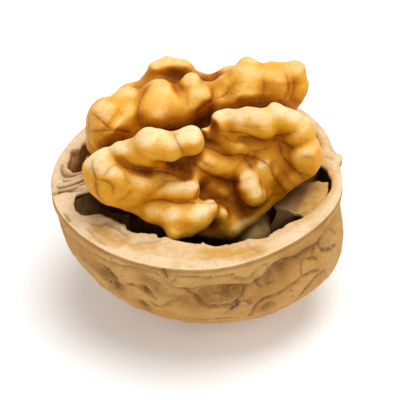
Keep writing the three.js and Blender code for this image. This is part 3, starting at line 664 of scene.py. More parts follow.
class Look:
    """A material being built, with short calls for the nodes it needs."""

    def __init__(self, name):
        self.material = bpy.data.materials.new(name)
        self.material.use_nodes = True
        self.tree = self.material.node_tree
        self.shader = self.tree.nodes["Principled BSDF"]
        self.place = self.node("ShaderNodeTexCoord").outputs["Object"]

    def node(self, kind, inputs=None, **settings):
        made = self.tree.nodes.new(kind)
        for key, value in settings.items():
            setattr(made, key, value)
        for key, value in (inputs or {}).items():
            self.put(made.inputs[key], value)
        return made

    def put(self, socket, value):
        if isinstance(value, bpy.types.NodeSocket):
            self.tree.links.new(value, socket)
        elif socket.type == "RGBA" and len(value) == 3:
            socket.default_value = (*value, 1)
        else:
            socket.default_value = value

    def attribute(self, name):
        return self.node("ShaderNodeAttribute", attribute_name=name).outputs["Fac"]

    def noise(self, size, detail=3.0, rough=0.55):
        """Noise whose bumps are about that many millimetres across."""
        inputs = {"Vector": self.place, "Scale": 1 / (size * MM), "Detail": detail, "Roughness": rough}
        return self.node("ShaderNodeTexNoise", inputs).outputs["Fac"]

    def cracks(self, size, place):
        """Distance from the edges of random cells about that many millimetres across, in cells."""
        inputs = {"Vector": place, "Scale": 1 / (size * MM)}
        return self.node("ShaderNodeTexVoronoi", inputs, feature="DISTANCE_TO_EDGE").outputs["Distance"]

    def spots(self, size):
        """Distance from scattered points about that many millimetres apart, in cells."""
        inputs = {"Vector": self.place, "Scale": 1 / (size * MM)}
        return self.node("ShaderNodeTexVoronoi", inputs, feature="F1").outputs["Distance"]

    def warped(self, size, amount):
        """Object coordinates shaken by noise of that size, by that many millimetres."""
        inputs = {"Vector": self.place, "Scale": 1 / (size * MM), "Detail": 2.0}
        shake = self.node("ShaderNodeTexNoise", inputs)
        centred = self.node("ShaderNodeVectorMath", {0: shake.outputs["Color"], 1: (0.5, 0.5, 0.5)},
                            operation="SUBTRACT")
        scaled = self.node("ShaderNodeVectorMath", {0: centred.outputs[0], "Scale": 2 * amount * MM},
                           operation="SCALE")
        return self.node("ShaderNodeVectorMath", {0: self.place, 1: scaled.outputs[0]}).outputs[0]

    def band(self, value, low, high, first=0.0, last=1.0):
        """A value that goes smoothly from first to last as the input goes from low to high."""
        inputs = {"Value": value, "From Min": low, "From Max": high, "To Min": first, "To Max": last}
        return self.node("ShaderNodeMapRange", inputs, interpolation_type="SMOOTHSTEP").outputs["Result"]

    def sums(self, operation, first, second):
        return self.node("ShaderNodeMath", {0: first, 1: second}, operation=operation).outputs[0]

    def mix(self, share, first, second, blend="MIX"):
        made = self.node("ShaderNodeMix", data_type="RGBA", blend_type=blend)
        for index, value in ((0, share), (6, first), (7, second)):
            self.put(made.inputs[index], value)
        return made.outputs[2]

    def ramp(self, value, stops):
        made = self.node("ShaderNodeValToRGB", {"Fac": value})
        for index, (position, colour) in enumerate(stops):
            if index < 2:
                stop = made.color_ramp.elements[index]
                stop.position = position
            else:
                stop = made.color_ramp.elements.new(position)
            stop.color = (*colour, 1)
        return made.outputs["Color"]

    def bump(self, height, distance, strength, normal=None):
        inputs = {"Height": height, "Distance": distance * MM, "Strength": strength}
        if normal is not None:
            inputs["Normal"] = normal
        return self.node("ShaderNodeBump", inputs).outputs["Normal"]

    def finish(self, **sockets):
        for key, value in sockets.items():
            self.put(self.shader.inputs[key.replace("_", " ")], value)
        return self.material


def kernel_look():
    look = Look("kernel_skin")
    mottle = look.band(look.noise(3.0, 4.0), 0.3, 0.7, -0.07, 0.07)
    # Painted shade: the skin darkens where it lies less open, in creases and recesses
    openness = look.sums("ADD", look.attribute("openness"), mottle)
    skin = look.ramp(openness, [
        (0.2, (0.17, 0.032, 0.0)), (0.45, (0.36, 0.088, 0.0)), (0.65, (0.52, 0.16, 0.0)),
        (0.82, (0.71, 0.27, 0.004)), (1.0, (0.86, 0.41, 0.035)),
    ])
    # Paler crests, with a painted highlight on the skin that faces up
    pale_crest_and_highlight = look.attribute("pale_crest_and_highlight")
    skin = look.mix(look.band(pale_crest_and_highlight, 0.0, 0.5), skin, (0.93, 0.5, 0.08))
    skin = look.mix(look.band(pale_crest_and_highlight, 0.25, 0.9), skin, (0.98, 0.75, 0.41))
    blush = look.band(look.noise(5.5, 3.0, 0.5), 0.48, 0.72, 0.0, 0.25)
    skin = look.mix(blush, skin, (0.6, 0.22, 0.02))
    fine_lines = look.cracks(5.5, look.warped(3.0, 1.2))
    faint = look.band(fine_lines, 0.0, 0.02, 0.22, 0.0)
    broken = look.band(look.noise(4.0), 0.4, 0.6)
    skin = look.mix(look.sums("MULTIPLY", faint, broken), skin, (0.3, 0.09, 0.012))
    waver = look.band(look.noise(0.8, 4.0), 0.3, 0.7, -0.06, 0.06)
    gap = look.sums("ADD", look.attribute("vein_gap"), waver)
    halo = look.band(gap, 0.0, 0.9, 0.45, 0.0)
    line = look.sums("MAXIMUM", look.band(gap, 0.06, 0.3, 1.0, 0.0), halo)
    vein = look.sums("MULTIPLY", line, look.band(look.attribute("vein"), 0.0, 0.8))
    skin = look.mix(vein, skin, (0.5, 0.3, 0.12), "MULTIPLY")
    # Painted shade in the tight creases
    skin = look.mix(look.attribute("crease"), skin, (0.16, 0.03, 0.0))
    specks = look.band(look.spots(2.4), 0.025, 0.06, 0.7, 0.0)
    skin = look.mix(specks, skin, (0.16, 0.06, 0.015))
    # Painted shade on the skin deep inside the shell
    skin = look.mix(look.attribute("deep_shade"), skin, (0.1, 0.04, 0.012))
    skin = look.mix(look.attribute("pale"), skin, (0.44, 0.29, 0.1))
    freckles = look.band(look.noise(0.9, 6.0, 0.7), 0.45, 0.75, 0.0, 0.32)
    skin = look.mix(freckles, skin, (0.6, 0.24, 0.02))
    pores = look.band(look.noise(0.3, 4.0, 0.7), 0.52, 0.75, 0.0, 0.3)
    skin = look.mix(pores, skin, (0.5, 0.19, 0.015))
    grain = look.noise(0.5, 3.0)
    normal = look.bump(look.noise(1.6, 3.0), 0.3, 0.8)
    normal = look.bump(grain, 0.1, 0.7, normal)
    return look.finish(
        Base_Color=skin, Normal=normal, Roughness=look.band(grain, 0.3, 0.7, 0.42, 0.58),
        Subsurface_Weight=0.2, Subsurface_Radius=(1.0, 0.35, 0.05), Subsurface_Scale=1.2 * MM,
        Specular_IOR_Level=0.22, Specular_Tint=(1.0, 0.7, 0.32),
    )


def shell_look():
    look = Look("shell_wood")
    wood = look.ramp(look.noise(5.0, 4.0), [
        (0.25, (0.5, 0.235, 0.06)), (0.5, (0.65, 0.34, 0.095)), (0.75, (0.75, 0.45, 0.15)),
    ])
    # Dirt, with painted shade in the hollows and creases
    dirt_and_shade = look.attribute("dirt_and_shade")
    smudge = look.sums("MULTIPLY", dirt_and_shade, look.band(look.noise(1.1, 5.0, 0.65), 0.3, 0.65, 0.3, 1.0))
    wood = look.mix(smudge, wood, (0.13, 0.045, 0.006))
    pits = look.sums("MAXIMUM", look.band(look.spots(1.0), 0.06, 0.18, 0.9, 0.0),
                     look.band(look.spots(0.55), 0.08, 0.22, 0.7, 0.0))
    where = look.sums("ADD", look.band(look.noise(3.0), 0.5, 0.68), look.band(dirt_and_shade, 0.2, 0.6, 0.0, 0.8))
    pit_share = look.sums("MULTIPLY", pits, where)
    wood = look.mix(pit_share, wood, (0.12, 0.06, 0.025))
    # Dark joints between the plates and along the seam, and painted shadow in the dip under the band
    wood = look.mix(look.attribute("groove"), wood, (0.19, 0.095, 0.03))
    ash = look.sums("MULTIPLY", look.attribute("smear"), look.band(look.noise(0.9, 4.0), 0.38, 0.58))
    wood = look.mix(ash, wood, (0.1, 0.06, 0.055))
    cream = look.ramp(look.noise(2.4, 5.0, 0.65), [
        (0.3, (0.7, 0.47, 0.24)), (0.5, (0.81, 0.6, 0.36)), (0.75, (0.87, 0.71, 0.49)),
    ])
    cloudy = look.band(look.noise(1.8, 4.0), 0.25, 0.55, 0.45, 1.0)
    stain = look.sums("MULTIPLY", look.attribute("stain"), cloudy)
    cream = look.mix(stain, cream, (0.62, 0.34, 0.075))
    fluff = look.band(look.noise(0.7, 6.0, 0.7), 0.5, 0.75, 0.0, 0.45)
    cream = look.mix(fluff, cream, (0.55, 0.34, 0.15))
    cream = look.mix(look.attribute("torn"), cream, (0.33, 0.165, 0.045))
    lining = look.ramp(look.noise(1.6, 4.0), [(0.3, (0.42, 0.2, 0.055)), (0.7, (0.66, 0.37, 0.13))])
    # Painted shade on the lining at the front
    lining = look.mix(look.attribute("lining_shade"), lining, (0.035, 0.012, 0.003))
    colour = look.mix(look.attribute("rim"), wood, cream)
    colour = look.mix(look.attribute("inside"), colour, lining)
    fibre = look.noise(0.35, 4.0, 0.7)
    normal = look.bump(look.noise(1.2, 5.0, 0.65), 0.35, 0.7)
    normal = look.bump(fibre, 0.12, 0.7, normal)
    normal = look.bump(look.sums("MULTIPLY", pit_share, -1.0), 0.2, 0.8, normal)
    return look.finish(Base_Color=colour, Roughness=look.band(fibre, 0.3, 0.7, 0.55, 0.8), Normal=normal,
                       Specular_IOR_Level=0.15)


def partition_look():
    look = Look("partition_paper")
    paper = look.ramp(look.noise(1.4, 5.0, 0.6), [
        (0.3, (0.46, 0.24, 0.05)), (0.5, (0.58, 0.34, 0.09)), (0.72, (0.66, 0.43, 0.15)),
    ])
    # Painted shade on the half of the folded sheet that faces away from the light
    paper = look.mix(look.attribute("shade"), paper, (0.34, 0.185, 0.07))
    paper = look.mix(look.attribute("frayed"), paper, (0.5, 0.35, 0.18))
    fibre = look.bump(look.noise(0.3, 3.0, 0.6), 0.06, 0.7)
    return look.finish(Base_Color=paper, Roughness=0.75, Normal=fibre, Specular_IOR_Level=0.25)


def floor_look():
    look = Look("floor_paper")
    tone = look.ramp(look.noise(6.0, 2.0), [(0.3, (0.9, 0.895, 0.89)), (0.7, (0.92, 0.915, 0.91))])
    return look.finish(Base_Color=tone, Roughness=0.9, Specular_IOR_Level=0.1, Emission_Color=(1, 1, 1),
                       Emission_Strength=FLOOR_GLOW)


# Shell

def outline_radius(degrees):
    angle = np.radians(degrees)
    ellipse = 1 / np.hypot(np.cos(angle) / HALF_LENGTH, np.sin(angle) / HALF_WIDTH)
    return ellipse + bumps_at(OUTLINE_BUMPS, degrees)


def belly(degrees, below):
    """How much fuller the shell is below its rim, as a factor of its radius."""
    return 1 + bumps_at(BELLY_BUMPS, degrees) * smoothstep(below, 0, BELLY_DEPTH)


def on_ring(degrees, radius, height):
    angle = np.radians(degrees)
    return np.stack([radius * np.cos(angle), radius * np.sin(angle), height + 0 * radius], axis=-1)


def shell_outside(degrees):
    """Rings of the outside, from its middle up to the rim: radius, height and the marks on them."""
    tilt = np.linspace(0, math.pi / 2, OUTSIDE_RINGS + 1)[:, None]
    share = np.sin(tilt) ** (2 / FULLNESS)
    height = DEPTH - (DEPTH + FLATTENING) * np.maximum(np.cos(tilt), 0) ** (2 / FULLNESS) + 0 * degrees
    below = DEPTH - height
    radius = outline_radius(degrees) * share * belly(degrees, below)
    places = on_ring(degrees + 0 * radius, radius, height)

    tree = grid_tree(places)
    band_height = band_heights(tree, degrees) + rough_at(places[-1], BAND_WAVER)
    soft_edge = smoothstep(below, band_height - BAND["over"], band_height + BAND["under"])
    band = BAND["rise"] * (1 - soft_edge)
    seam = bell(below - SEAM["below"], SEAM["width"])
    under_band = bell(below - band_height - UNDER_BAND["below"], UNDER_BAND["width"])
    nib = NIB["reach"] * bell(turned(degrees - NIB["at"]), NIB["half_angle"])
    nib = nib * (1 - smoothstep(below, 0, NIB["height"]))

    drawn, dark = np.zeros_like(radius), np.zeros_like(radius)
    for depth, width, darkness, pixels in OUTSIDE_STROKES:
        seen = laid_on(tree, pixels)
        for stroke in (seen, far_side(seen)):
            mark = bell(away_from(places, stroke), width)
            drawn -= STROKE_GAIN * depth * mark
            dark = np.maximum(dark, DARK_GAIN * darkness * mark)
    smear_width, smear_pixels = SMEAR
    smear = bell(away_from(places, laid_on(tree, smear_pixels)), smear_width)

    centred = places - (0, 0, DEPTH)
    centred[0] = (0, 0, -DEPTH)
    turn = np.abs(turned(degrees + FRONT_ANGLE))
    hidden = HIDDEN_NET * smoothstep(turn, HIDDEN_FROM, HIDDEN_TO) + 0 * radius
    near, next_near, _ = nearest_two(centred, spread_points(NET["meshes"], NET["salt"]))
    net = NET["ridge"] * (1 - smoothstep(next_near - near, 0, NET["ridge_width"]))
    net = net - NET["dip"] * (1 - smoothstep(near, 0, NET["dip_radius"]))
    hollows = np.zeros_like(radius)
    for at, middle, reach, sink in HOLLOWS:
        off = np.hypot(np.radians(turned(degrees - at)) * radius, height - middle) / reach
        hollows += sink * bell(off, 1)

    shaken = centred + rough_at(centred, PLATE_SHAKE)[..., None]
    near, next_near, plate = nearest_two(shaken, spread_points(PLATES["count"], PLATES["salt"]))
    shows = smoothstep(rough_at(centred, PLATE_PATCHES), *PLATES["patch_edge"])
    shows = shows * at_least(PLATES["least"], hidden)
    groove = (1 - smoothstep(next_near - near, 0, PLATES["groove_width"])) * shows
    steps = PLATES["step"] * (draw(plate, PLATES["step_salt"]) - 0.5)
    plates = steps * smoothstep(next_near - near, *PLATES["step_width"]) * shows
    lumps = rough_at(centred, SHELL_LUMPS)

    fade = smoothstep(radius, *FOOT) * smoothstep(below, *UNDER_RIM)
    relief = at_least(NET["least"], hidden) * (net - hollows) - PLATES["groove"] * groove + plates + lumps
    out = band + nib - SEAM["depth"] * seam - UNDER_BAND["depth"] * under_band
    out = out + fade * relief + drawn * smoothstep(below, *STROKES_START)
    # Dark joints between the plates and along the seam, and painted shadow in the dip under the band
    lines = GROOVE_MARK["plates"] * fade * groove + GROOVE_MARK["seam"] * seam
    lines = lines + GROOVE_MARK["under_band"] * under_band
    # Dirt over the relief, with painted shade in the traced creases and hollows and in the net's hollows
    dirt_and_shade = dark + fade * (DIRT_AND_SHADE["hollows"] * hidden * hollows + DIRT_AND_SHADE["overall"])
    marks = {"groove": np.clip(lines, 0, 1), "dirt_and_shade": np.clip(dirt_and_shade, 0, 1), "smear": smear}
    return np.maximum(radius + out * share, 0), np.maximum(height - out * (1 - share), 0), marks


def far_side(stroke):
    """A stroke on the front of the outside, laid on its back instead, turned over and moved along."""
    degrees = FAR_TURN - np.degrees(np.arctan2(stroke[:, 1], stroke[:, 0]))
    height = DEPTH - FAR_SHRINK * (DEPTH - stroke[:, 2])
    return on_ring(degrees, outside_radius(degrees, height), height)


def outside_radius(degrees, height):
    """Radius of the plain outside at a height."""
    below = DEPTH - height
    cosine = np.clip(below / (DEPTH + FLATTENING), 0, 1) ** (FULLNESS / 2)
    share = np.sqrt(1 - cosine ** 2) ** (2 / FULLNESS)
    return outline_radius(degrees) * share * belly(degrees, below)


def grid_tree(places):
    """A tree for tracing lines of sight onto the outside, given as a grid of points."""
    rings, sides = places.shape[:2]
    number = np.arange(rings * sides).reshape(rings, sides)
    ahead = np.roll(number, -1, axis=1)
    quads = np.stack([number[:-1], ahead[:-1], ahead[1:], number[1:]], axis=-1).reshape(-1, 4)
    return BVHTree.FromPolygons(places.reshape(-1, 3).tolist(), quads.tolist())


def band_heights(tree, degrees):
    """How far down the suture band reaches: along its edge in the photograph, and by its bumps elsewhere."""
    edge = laid_on(tree, BAND_EDGE)
    return along_edge(degrees, edge, BAND["height"] + bumps_at(BAND_BUMPS, degrees), DEPTH - edge[:, 2])


def along_edge(degrees, edge, plain, value):
    """A value given along a traced edge, passing over to a plain one past the edge's ends."""
    angle = np.degrees(np.arctan2(edge[:, 1], edge[:, 0]))
    order = np.argsort(angle)
    seen = np.interp(degrees, angle[order], value[order])
    share = smoothstep(degrees, angle.min() - EDGE_FADE, angle.min())
    share = share * (1 - smoothstep(degrees, angle.max(), angle.max() + EDGE_FADE))
    return share * seen + (1 - share) * plain


def ledge_radius(degrees):
    """The torn inner edge of what is left of the partition along the rim."""
    ragged = sum(height * np.sin(degrees * turn + start) for height, turn, start in LEDGE_WAVES)
    reach = np.maximum(0, bumps_at(LEDGE_BUMPS, degrees) + ragged)
    radius = outline_radius(degrees) - LEDGE_LEAST - reach
    for pixels in (LEFT_OPENING, FRONT_OPENING):
        edge = laid_level(pixels, DEPTH)
        radius = along_edge(degrees, edge, radius, np.hypot(edge[:, 0], edge[:, 1]))
    edge = on_ring(degrees, outline_radius(degrees), 0)
    return radius - rough_at(edge, LEDGE_TEARS) * np.minimum(reach + LEDGE_TORN["least"], LEDGE_TORN["most"])


def shell_rim(degrees, outer_radius):
    """Rings across the rim's broken face, from its outer edge to the ledge's: radius, height and marks."""
    share = np.linspace(0, 1, RIM_RINGS + 1)[1:, None]
    inner = ledge_radius(degrees)
    radius = outer_radius + (inner - outer_radius) * share
    places = on_ring(degrees + 0 * radius, radius, 0)
    across = np.abs(places[..., 1])
    wall_line = WALL + MEMBRANE["inward"] - (outer_radius - radius)
    membrane = smoothstep(-wall_line, *MEMBRANE["edge"])
    front = bell(turned(degrees - RIM_FRONT["at"]), RIM_FRONT["spread"])
    height = rough_at(places, RIM_GRAIN) - MEMBRANE["sink"] * membrane * at_least(MEMBRANE["least"], front)
    height = height - INNER_EDGE["drop"] * smoothstep(share, INNER_EDGE["share"], 1)
    height = height - OUTER_EDGE["drop"] * (1 - smoothstep(share, 0, OUTER_EDGE["share"]))

    blunt_end = smoothstep(-places[..., 0], *RIM_ENDS)
    folds = np.sin(across * FOLDS["turn"] + FOLDS["lean"] * places[..., 1]) * bell(across, FOLDS["spread"])
    folds = FOLDS["rise"] * folds * smoothstep(share, *FOLDS["share"])
    crease = bell(places[..., 1], END_CREASE["width"])
    height = height + blunt_end * (folds - END_CREASE["depth"] * crease)
    tip_end = smoothstep(places[..., 0], *RIM_ENDS)
    height = height + tip_end * END_RIDGE["rise"] * bell(places[..., 1] - END_RIDGE["at"], END_RIDGE["width"])

    level = places + (0, 0, DEPTH)
    torn = np.zeros_like(radius)
    for depth, width, darkness, pixels in RIM_STROKES:
        mark = bell(away_from(level, laid_level(pixels, DEPTH)), width)
        height = height - depth * mark
        torn = np.maximum(torn, darkness * mark)
    stain = np.zeros_like(radius)
    for width, strength, pixels in RIM_STAINS:
        patch = np.exp(-((away_from(level, laid_level(pixels, DEPTH)) / width) ** 4))
        height = height - STAIN["sink"] * strength * patch
        stain = np.maximum(stain, strength * patch)
    bevel = smoothstep(share, *BEVEL["share"]) * smoothstep(places[..., 0], *BEVEL["along"]) * (1 - front)
    stain = stain + STAIN["membrane"] * front * membrane + BEVEL["mark"] * bevel
    torn = torn + END_CREASE["mark"] * blunt_end * crease
    marks = {"stain": np.clip(stain, 0, 1), "torn": np.clip(torn, 0, 1)}
    return radius, DEPTH + height, marks


def shell_inside(degrees, edge_radius):
    """Rings from under the ledge down to the middle of the lining: radius and height."""
    lip = np.linspace(LIP["start"], 1, LIP["rings"])[:, None]
    wall = outline_radius(degrees) - WALL
    lip_radius = edge_radius + (wall - edge_radius) * lip ** 2
    lip_height = DEPTH - LIP["drop"] - (2 * LEDGE_THICKNESS - LIP["drop"]) * lip + 0 * degrees
    tilt = np.linspace(math.pi / 2, 0, INSIDE_RINGS + 1)[1:, None]
    top = DEPTH - 2 * LEDGE_THICKNESS
    height = top - (top - WALL) * np.cos(tilt) ** (2 / INNER_FULLNESS) + 0 * degrees
    radius = wall * np.maximum(np.sin(tilt), 0) ** (2 / INNER_FULLNESS) * belly(degrees, top - height)
    places = on_ring(degrees + 0 * radius, radius, height)
    deepest = sum(layer[0] for layer in LINING_WRINKLES)
    wrinkle = (deepest + rough_at(places, LINING_WRINKLES)) * np.sin(tilt)
    radius = np.maximum(radius - wrinkle, 0)
    return np.vstack([lip_radius, radius]), np.vstack([lip_height, height])


def shell_piece():
    degrees = np.arange(SHELL_SIDES) * 360 / SHELL_SIDES - 180
    out_radius, out_height, out_marks = shell_outside(degrees)
    rim_radius, rim_height, rim_marks = shell_rim(degrees, out_radius[-1])
    in_radius, in_height = shell_inside(degrees, rim_radius[-1])
    radius = np.vstack([out_radius, rim_radius, in_radius])
    height = np.vstack([out_height, rim_height, in_height])
    counts = [len(out_radius), len(rim_radius), len(in_radius)]
    zones = np.repeat([0, 1, 2], counts)[:, None] + 0 * radius

    def spread(marks, zone):
        filled = np.zeros_like(radius)
        filled[zones == zone] = marks.ravel()
        return filled

    attributes = {
        "rim": (zones == 1).astype(float),
        "inside": (zones == 2).astype(float),
        "groove": spread(out_marks["groove"], 0),
        "dirt_and_shade": spread(out_marks["dirt_and_shade"], 0),
        "smear": spread(out_marks["smear"], 0),
        "stain": spread(rim_marks["stain"], 1),
        "torn": spread(rim_marks["torn"], 1),
        "lining_shade": smoothstep(-radius * np.sin(np.radians(degrees)), *LINING_SHADE),
    }
    last = len(radius) - 1
    places = on_ring(degrees + 0 * radius, radius, height)
    keep = slice(1, last)
    vertices = np.vstack([places[0, :1], places[keep].reshape(-1, 3), places[last, :1]])
    flat = {key: np.concatenate([value[0, :1], value[keep].ravel(), value[last, :1]])
            for key, value in attributes.items()}
    side = np.arange(SHELL_SIDES)
    after = (side + 1) % SHELL_SIDES
    faces = [(0, 1 + b, 1 + a) for a, b in zip(side, after)]
    for ring in range(last - 2):
        start = 1 + ring * SHELL_SIDES
        faces += [(start + a, start + b, start + SHELL_SIDES + b, start + SHELL_SIDES + a)
                  for a, b in zip(side, after)]
    end, start = len(vertices) - 1, 1 + (last - 2) * SHELL_SIDES
    faces += [(end, start + a, start + b) for a, b in zip(side, after)]
    piece = make_piece("shell_dressed", vertices, faces, flat, shell_look())
    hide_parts("shell")


def strand_look():
    look = Look("strand_fibre")
    fibre = look.ramp(look.noise(0.8, 4.0), [(0.3, (0.66, 0.45, 0.23)), (0.7, (0.84, 0.66, 0.42))])
    fibre = look.mix(look.attribute("brown"), fibre, (0.4, 0.2, 0.06))
    return look.finish(Base_Color=fibre, Roughness=0.8, Specular_IOR_Level=0.15,
                       Normal=look.bump(look.noise(0.3, 3.0), 0.1, 0.7))


def strand_tube(radius, knots):
    """Vertices and faces of one strand: a tube with closed ends along a smooth curve."""
    line = np.array(traced([knot[:2] for knot in knots]))
    share = np.linspace(0, 1, len(line))
    rise = np.interp(share, np.linspace(0, 1, len(knots)), [knot[2] for knot in knots])
    middle = np.array([laid_level([pixel], DEPTH + lift)[0] for pixel, lift in zip(line, rise)])
    along = np.gradient(middle, axis=0)
    along /= np.linalg.norm(along, axis=1, keepdims=True)
    across = np.cross(along, (0, 0, 1))
    over = np.cross(across, along)
    turn = np.arange(STRAND_SIDES) * 2 * math.pi / STRAND_SIDES
    ends = np.linspace(STRAND_ENDS["from"], STRAND_ENDS["to"], len(middle))
    thick = radius * np.sin(ends * math.pi) ** STRAND_ENDS["power"]
    ring = across[:, None] * np.cos(turn)[:, None] + over[:, None] * np.sin(turn)[:, None]
    vertices = (middle[:, None] + thick[:, None, None] * ring).reshape(-1, 3)
    faces = []
    for row in range(len(middle) - 1):
        for side in range(STRAND_SIDES):
            here = row * STRAND_SIDES + side
            beside = row * STRAND_SIDES + (side + 1) % STRAND_SIDES
            faces.append((here, here + STRAND_SIDES, beside + STRAND_SIDES, beside))
    last = len(vertices) - STRAND_SIDES
    faces.append(tuple(range(STRAND_SIDES)))
    faces.append(tuple(range(len(vertices) - 1, last - 1, -1)))
    return vertices, faces


def strands_piece():
    vertices, faces, brown = [], [], []
    for radius, shade, knots in STRANDS:
        places, sides = strand_tube(radius, knots)
        faces += [tuple(index + len(vertices) for index in face) for face in sides]
        vertices += places.tolist()
        brown += [shade] * len(places)
    make_piece("strands", np.array(vertices), faces, {"brown": brown}, strand_look())


# Kernel

def lobe_distance(points, lobe):
    start, end = np.array(lobe[:3], np.float32), np.array(lobe[3:6], np.float32)
    along = end - start
    offset = points - start
    share = np.clip(offset @ along / (along @ along), 0, 1)
    away = np.linalg.norm(offset - share[:, None] * along, axis=1)
    return away - (lobe[6] + share * (lobe[7] - lobe[6]))


def melt(first, second, width):
    """The smaller of two distances, rounded off where they are close."""
    near = np.maximum(width - np.abs(first - second), 0) / width
    return np.minimum(first, second) - near * near * width * 0.25


def half_distance(points, lobes, crease=CREASE):
    total = lobe_distance(points, lobes[0])
    for lobe in lobes[1:]:
        total = melt(total, lobe_distance(points, lobe), crease)
    return total


def wavy(points):
    """Points moved a little by slow waves, so that no lobe is an even bar."""
    x, y, z = points.T
    moves = (np.sin(1.1 * y + 0.7 * z + 0.5) + np.sin(1.7 * z - 0.6 * x + 2),
             np.sin(1.2 * z + 0.8 * x + 1.3) + np.sin(1.6 * x - 0.7 * y + 4),
             np.sin(1.0 * x + 0.9 * y + 2.6) + np.sin(1.5 * y - 0.8 * z + 1))
    return points + LOBE_WAVE * np.stack(moves, axis=1)


def kernel_distance(points):
    """Distance to the kernel's skin, negative inside, at points in millimetres above the rim."""
    points = wavy(points).astype(np.float32)
    back = half_distance(points, BACK_LOBES, BACK_CREASE)
    upper = melt(half_distance(points, FRONT_LOBES), back, CLEFT_CREASE)
    return melt(upper, half_distance(points, LOWER_LOBES), CLEFT_CREASE)


def kernel_grid():
    """The distance at each point of a grid that holds the whole kernel."""
    axes = [np.arange(low, high, KERNEL_STEP) for low, high in zip(KERNEL_LOW, KERNEL_HIGH)]
    field = np.empty([len(axis) for axis in axes], np.float32)
    y, z = np.meshgrid(axes[1], axes[2], indexing="ij")
    for index, x in enumerate(axes[0]):
        slab = np.stack([np.full(y.size, x), y.ravel(), z.ravel()], axis=1)
        field[index] = kernel_distance(slab).reshape(y.shape)
    return field


def surface_net(field):
    """Vertices, in grid steps, and quads of the surface where a field on a grid is zero."""
    corner_steps = np.array([(i, j, k) for i in (0, 1) for j in (0, 1) for k in (0, 1)])
    cells = tuple(size - 1 for size in field.shape)
    inside = field < 0
    count = sum(inside[i:i + cells[0], j:j + cells[1], k:k + cells[2]].astype(np.int8)
                for i, j, k in corner_steps)
    crossed = np.argwhere((count > 0) & (count < 8))
    corners = crossed[:, None, :] + corner_steps
    values = field[corners[..., 0], corners[..., 1], corners[..., 2]]
    total = np.zeros((len(crossed), 3))
    found = np.zeros(len(crossed))
    for a in range(8):
        for b in range(a + 1, 8):
            if np.abs(corner_steps[a] - corner_steps[b]).sum() != 1:
                continue
            cut = (values[:, a] < 0) != (values[:, b] < 0)
            share = values[cut, a] / (values[cut, a] - values[cut, b])
            total[cut] += corner_steps[a] + share[:, None] * (corner_steps[b] - corner_steps[a])
            found[cut] += 1
    vertices = crossed + total / found[:, None]
    number = np.full(cells, -1)
    number[tuple(crossed.T)] = np.arange(len(crossed))

    quads = []
    for axis in range(3):
        step = np.eye(3, dtype=int)[axis]
        u, v = np.eye(3, dtype=int)[(axis + 1) % 3], np.eye(3, dtype=int)[(axis + 2) % 3]
        ends = [slice(0, -1) if step[k] else slice(None) for k in range(3)]
        starts = [slice(1, None) if step[k] else slice(None) for k in range(3)]
        first, second = inside[tuple(ends)], inside[tuple(starts)]
        edges = np.argwhere(first != second)
        ring = [number[tuple((edges - back).T)] for back in (u + v, v, 0 * u, u)]
        quad = np.stack(ring, axis=1)
        outward = first[tuple(edges.T)]
        quad[~outward] = quad[~outward][:, ::-1]
        quads.append(quad)
    return vertices, np.vstack(quads)


def gradient(points, step=0.06):
    moves = np.eye(3) * step
    rises = [kernel_distance(points + move) - kernel_distance(points - move) for move in moves]
    return np.stack(rises, axis=1)


def vein_marks(vertices, faces):
    """Distance of each vertex from the nearest main vein, up to VEIN_REACH, and how strong that vein is."""
    tree = BVHTree.FromPolygons((vertices + (0, 0, DEPTH)).tolist(), faces.tolist())
    places, strengths = [], []
    for strength, stroke in VEINS:
        laid = laid_on(tree, stroke, VEIN_PIXELS)
        taper = np.sin(np.linspace(*VEIN_ENDS, len(laid)) * math.pi) ** 0.5
        places += laid.tolist()
        strengths += (strength * taper).tolist()
    known = kdtree.KDTree(len(places))
    for index, place in enumerate(places):
        known.insert(place, index)
    known.balance()
    gaps = np.full(len(vertices), VEIN_REACH)
    marks = np.zeros(len(vertices))
    for index, place in enumerate(vertices + (0, 0, DEPTH)):
        _, nearest, away = known.find(place)
        if away < VEIN_REACH:
            gaps[index] = away
            marks[index] = strengths[nearest]
    return gaps, marks


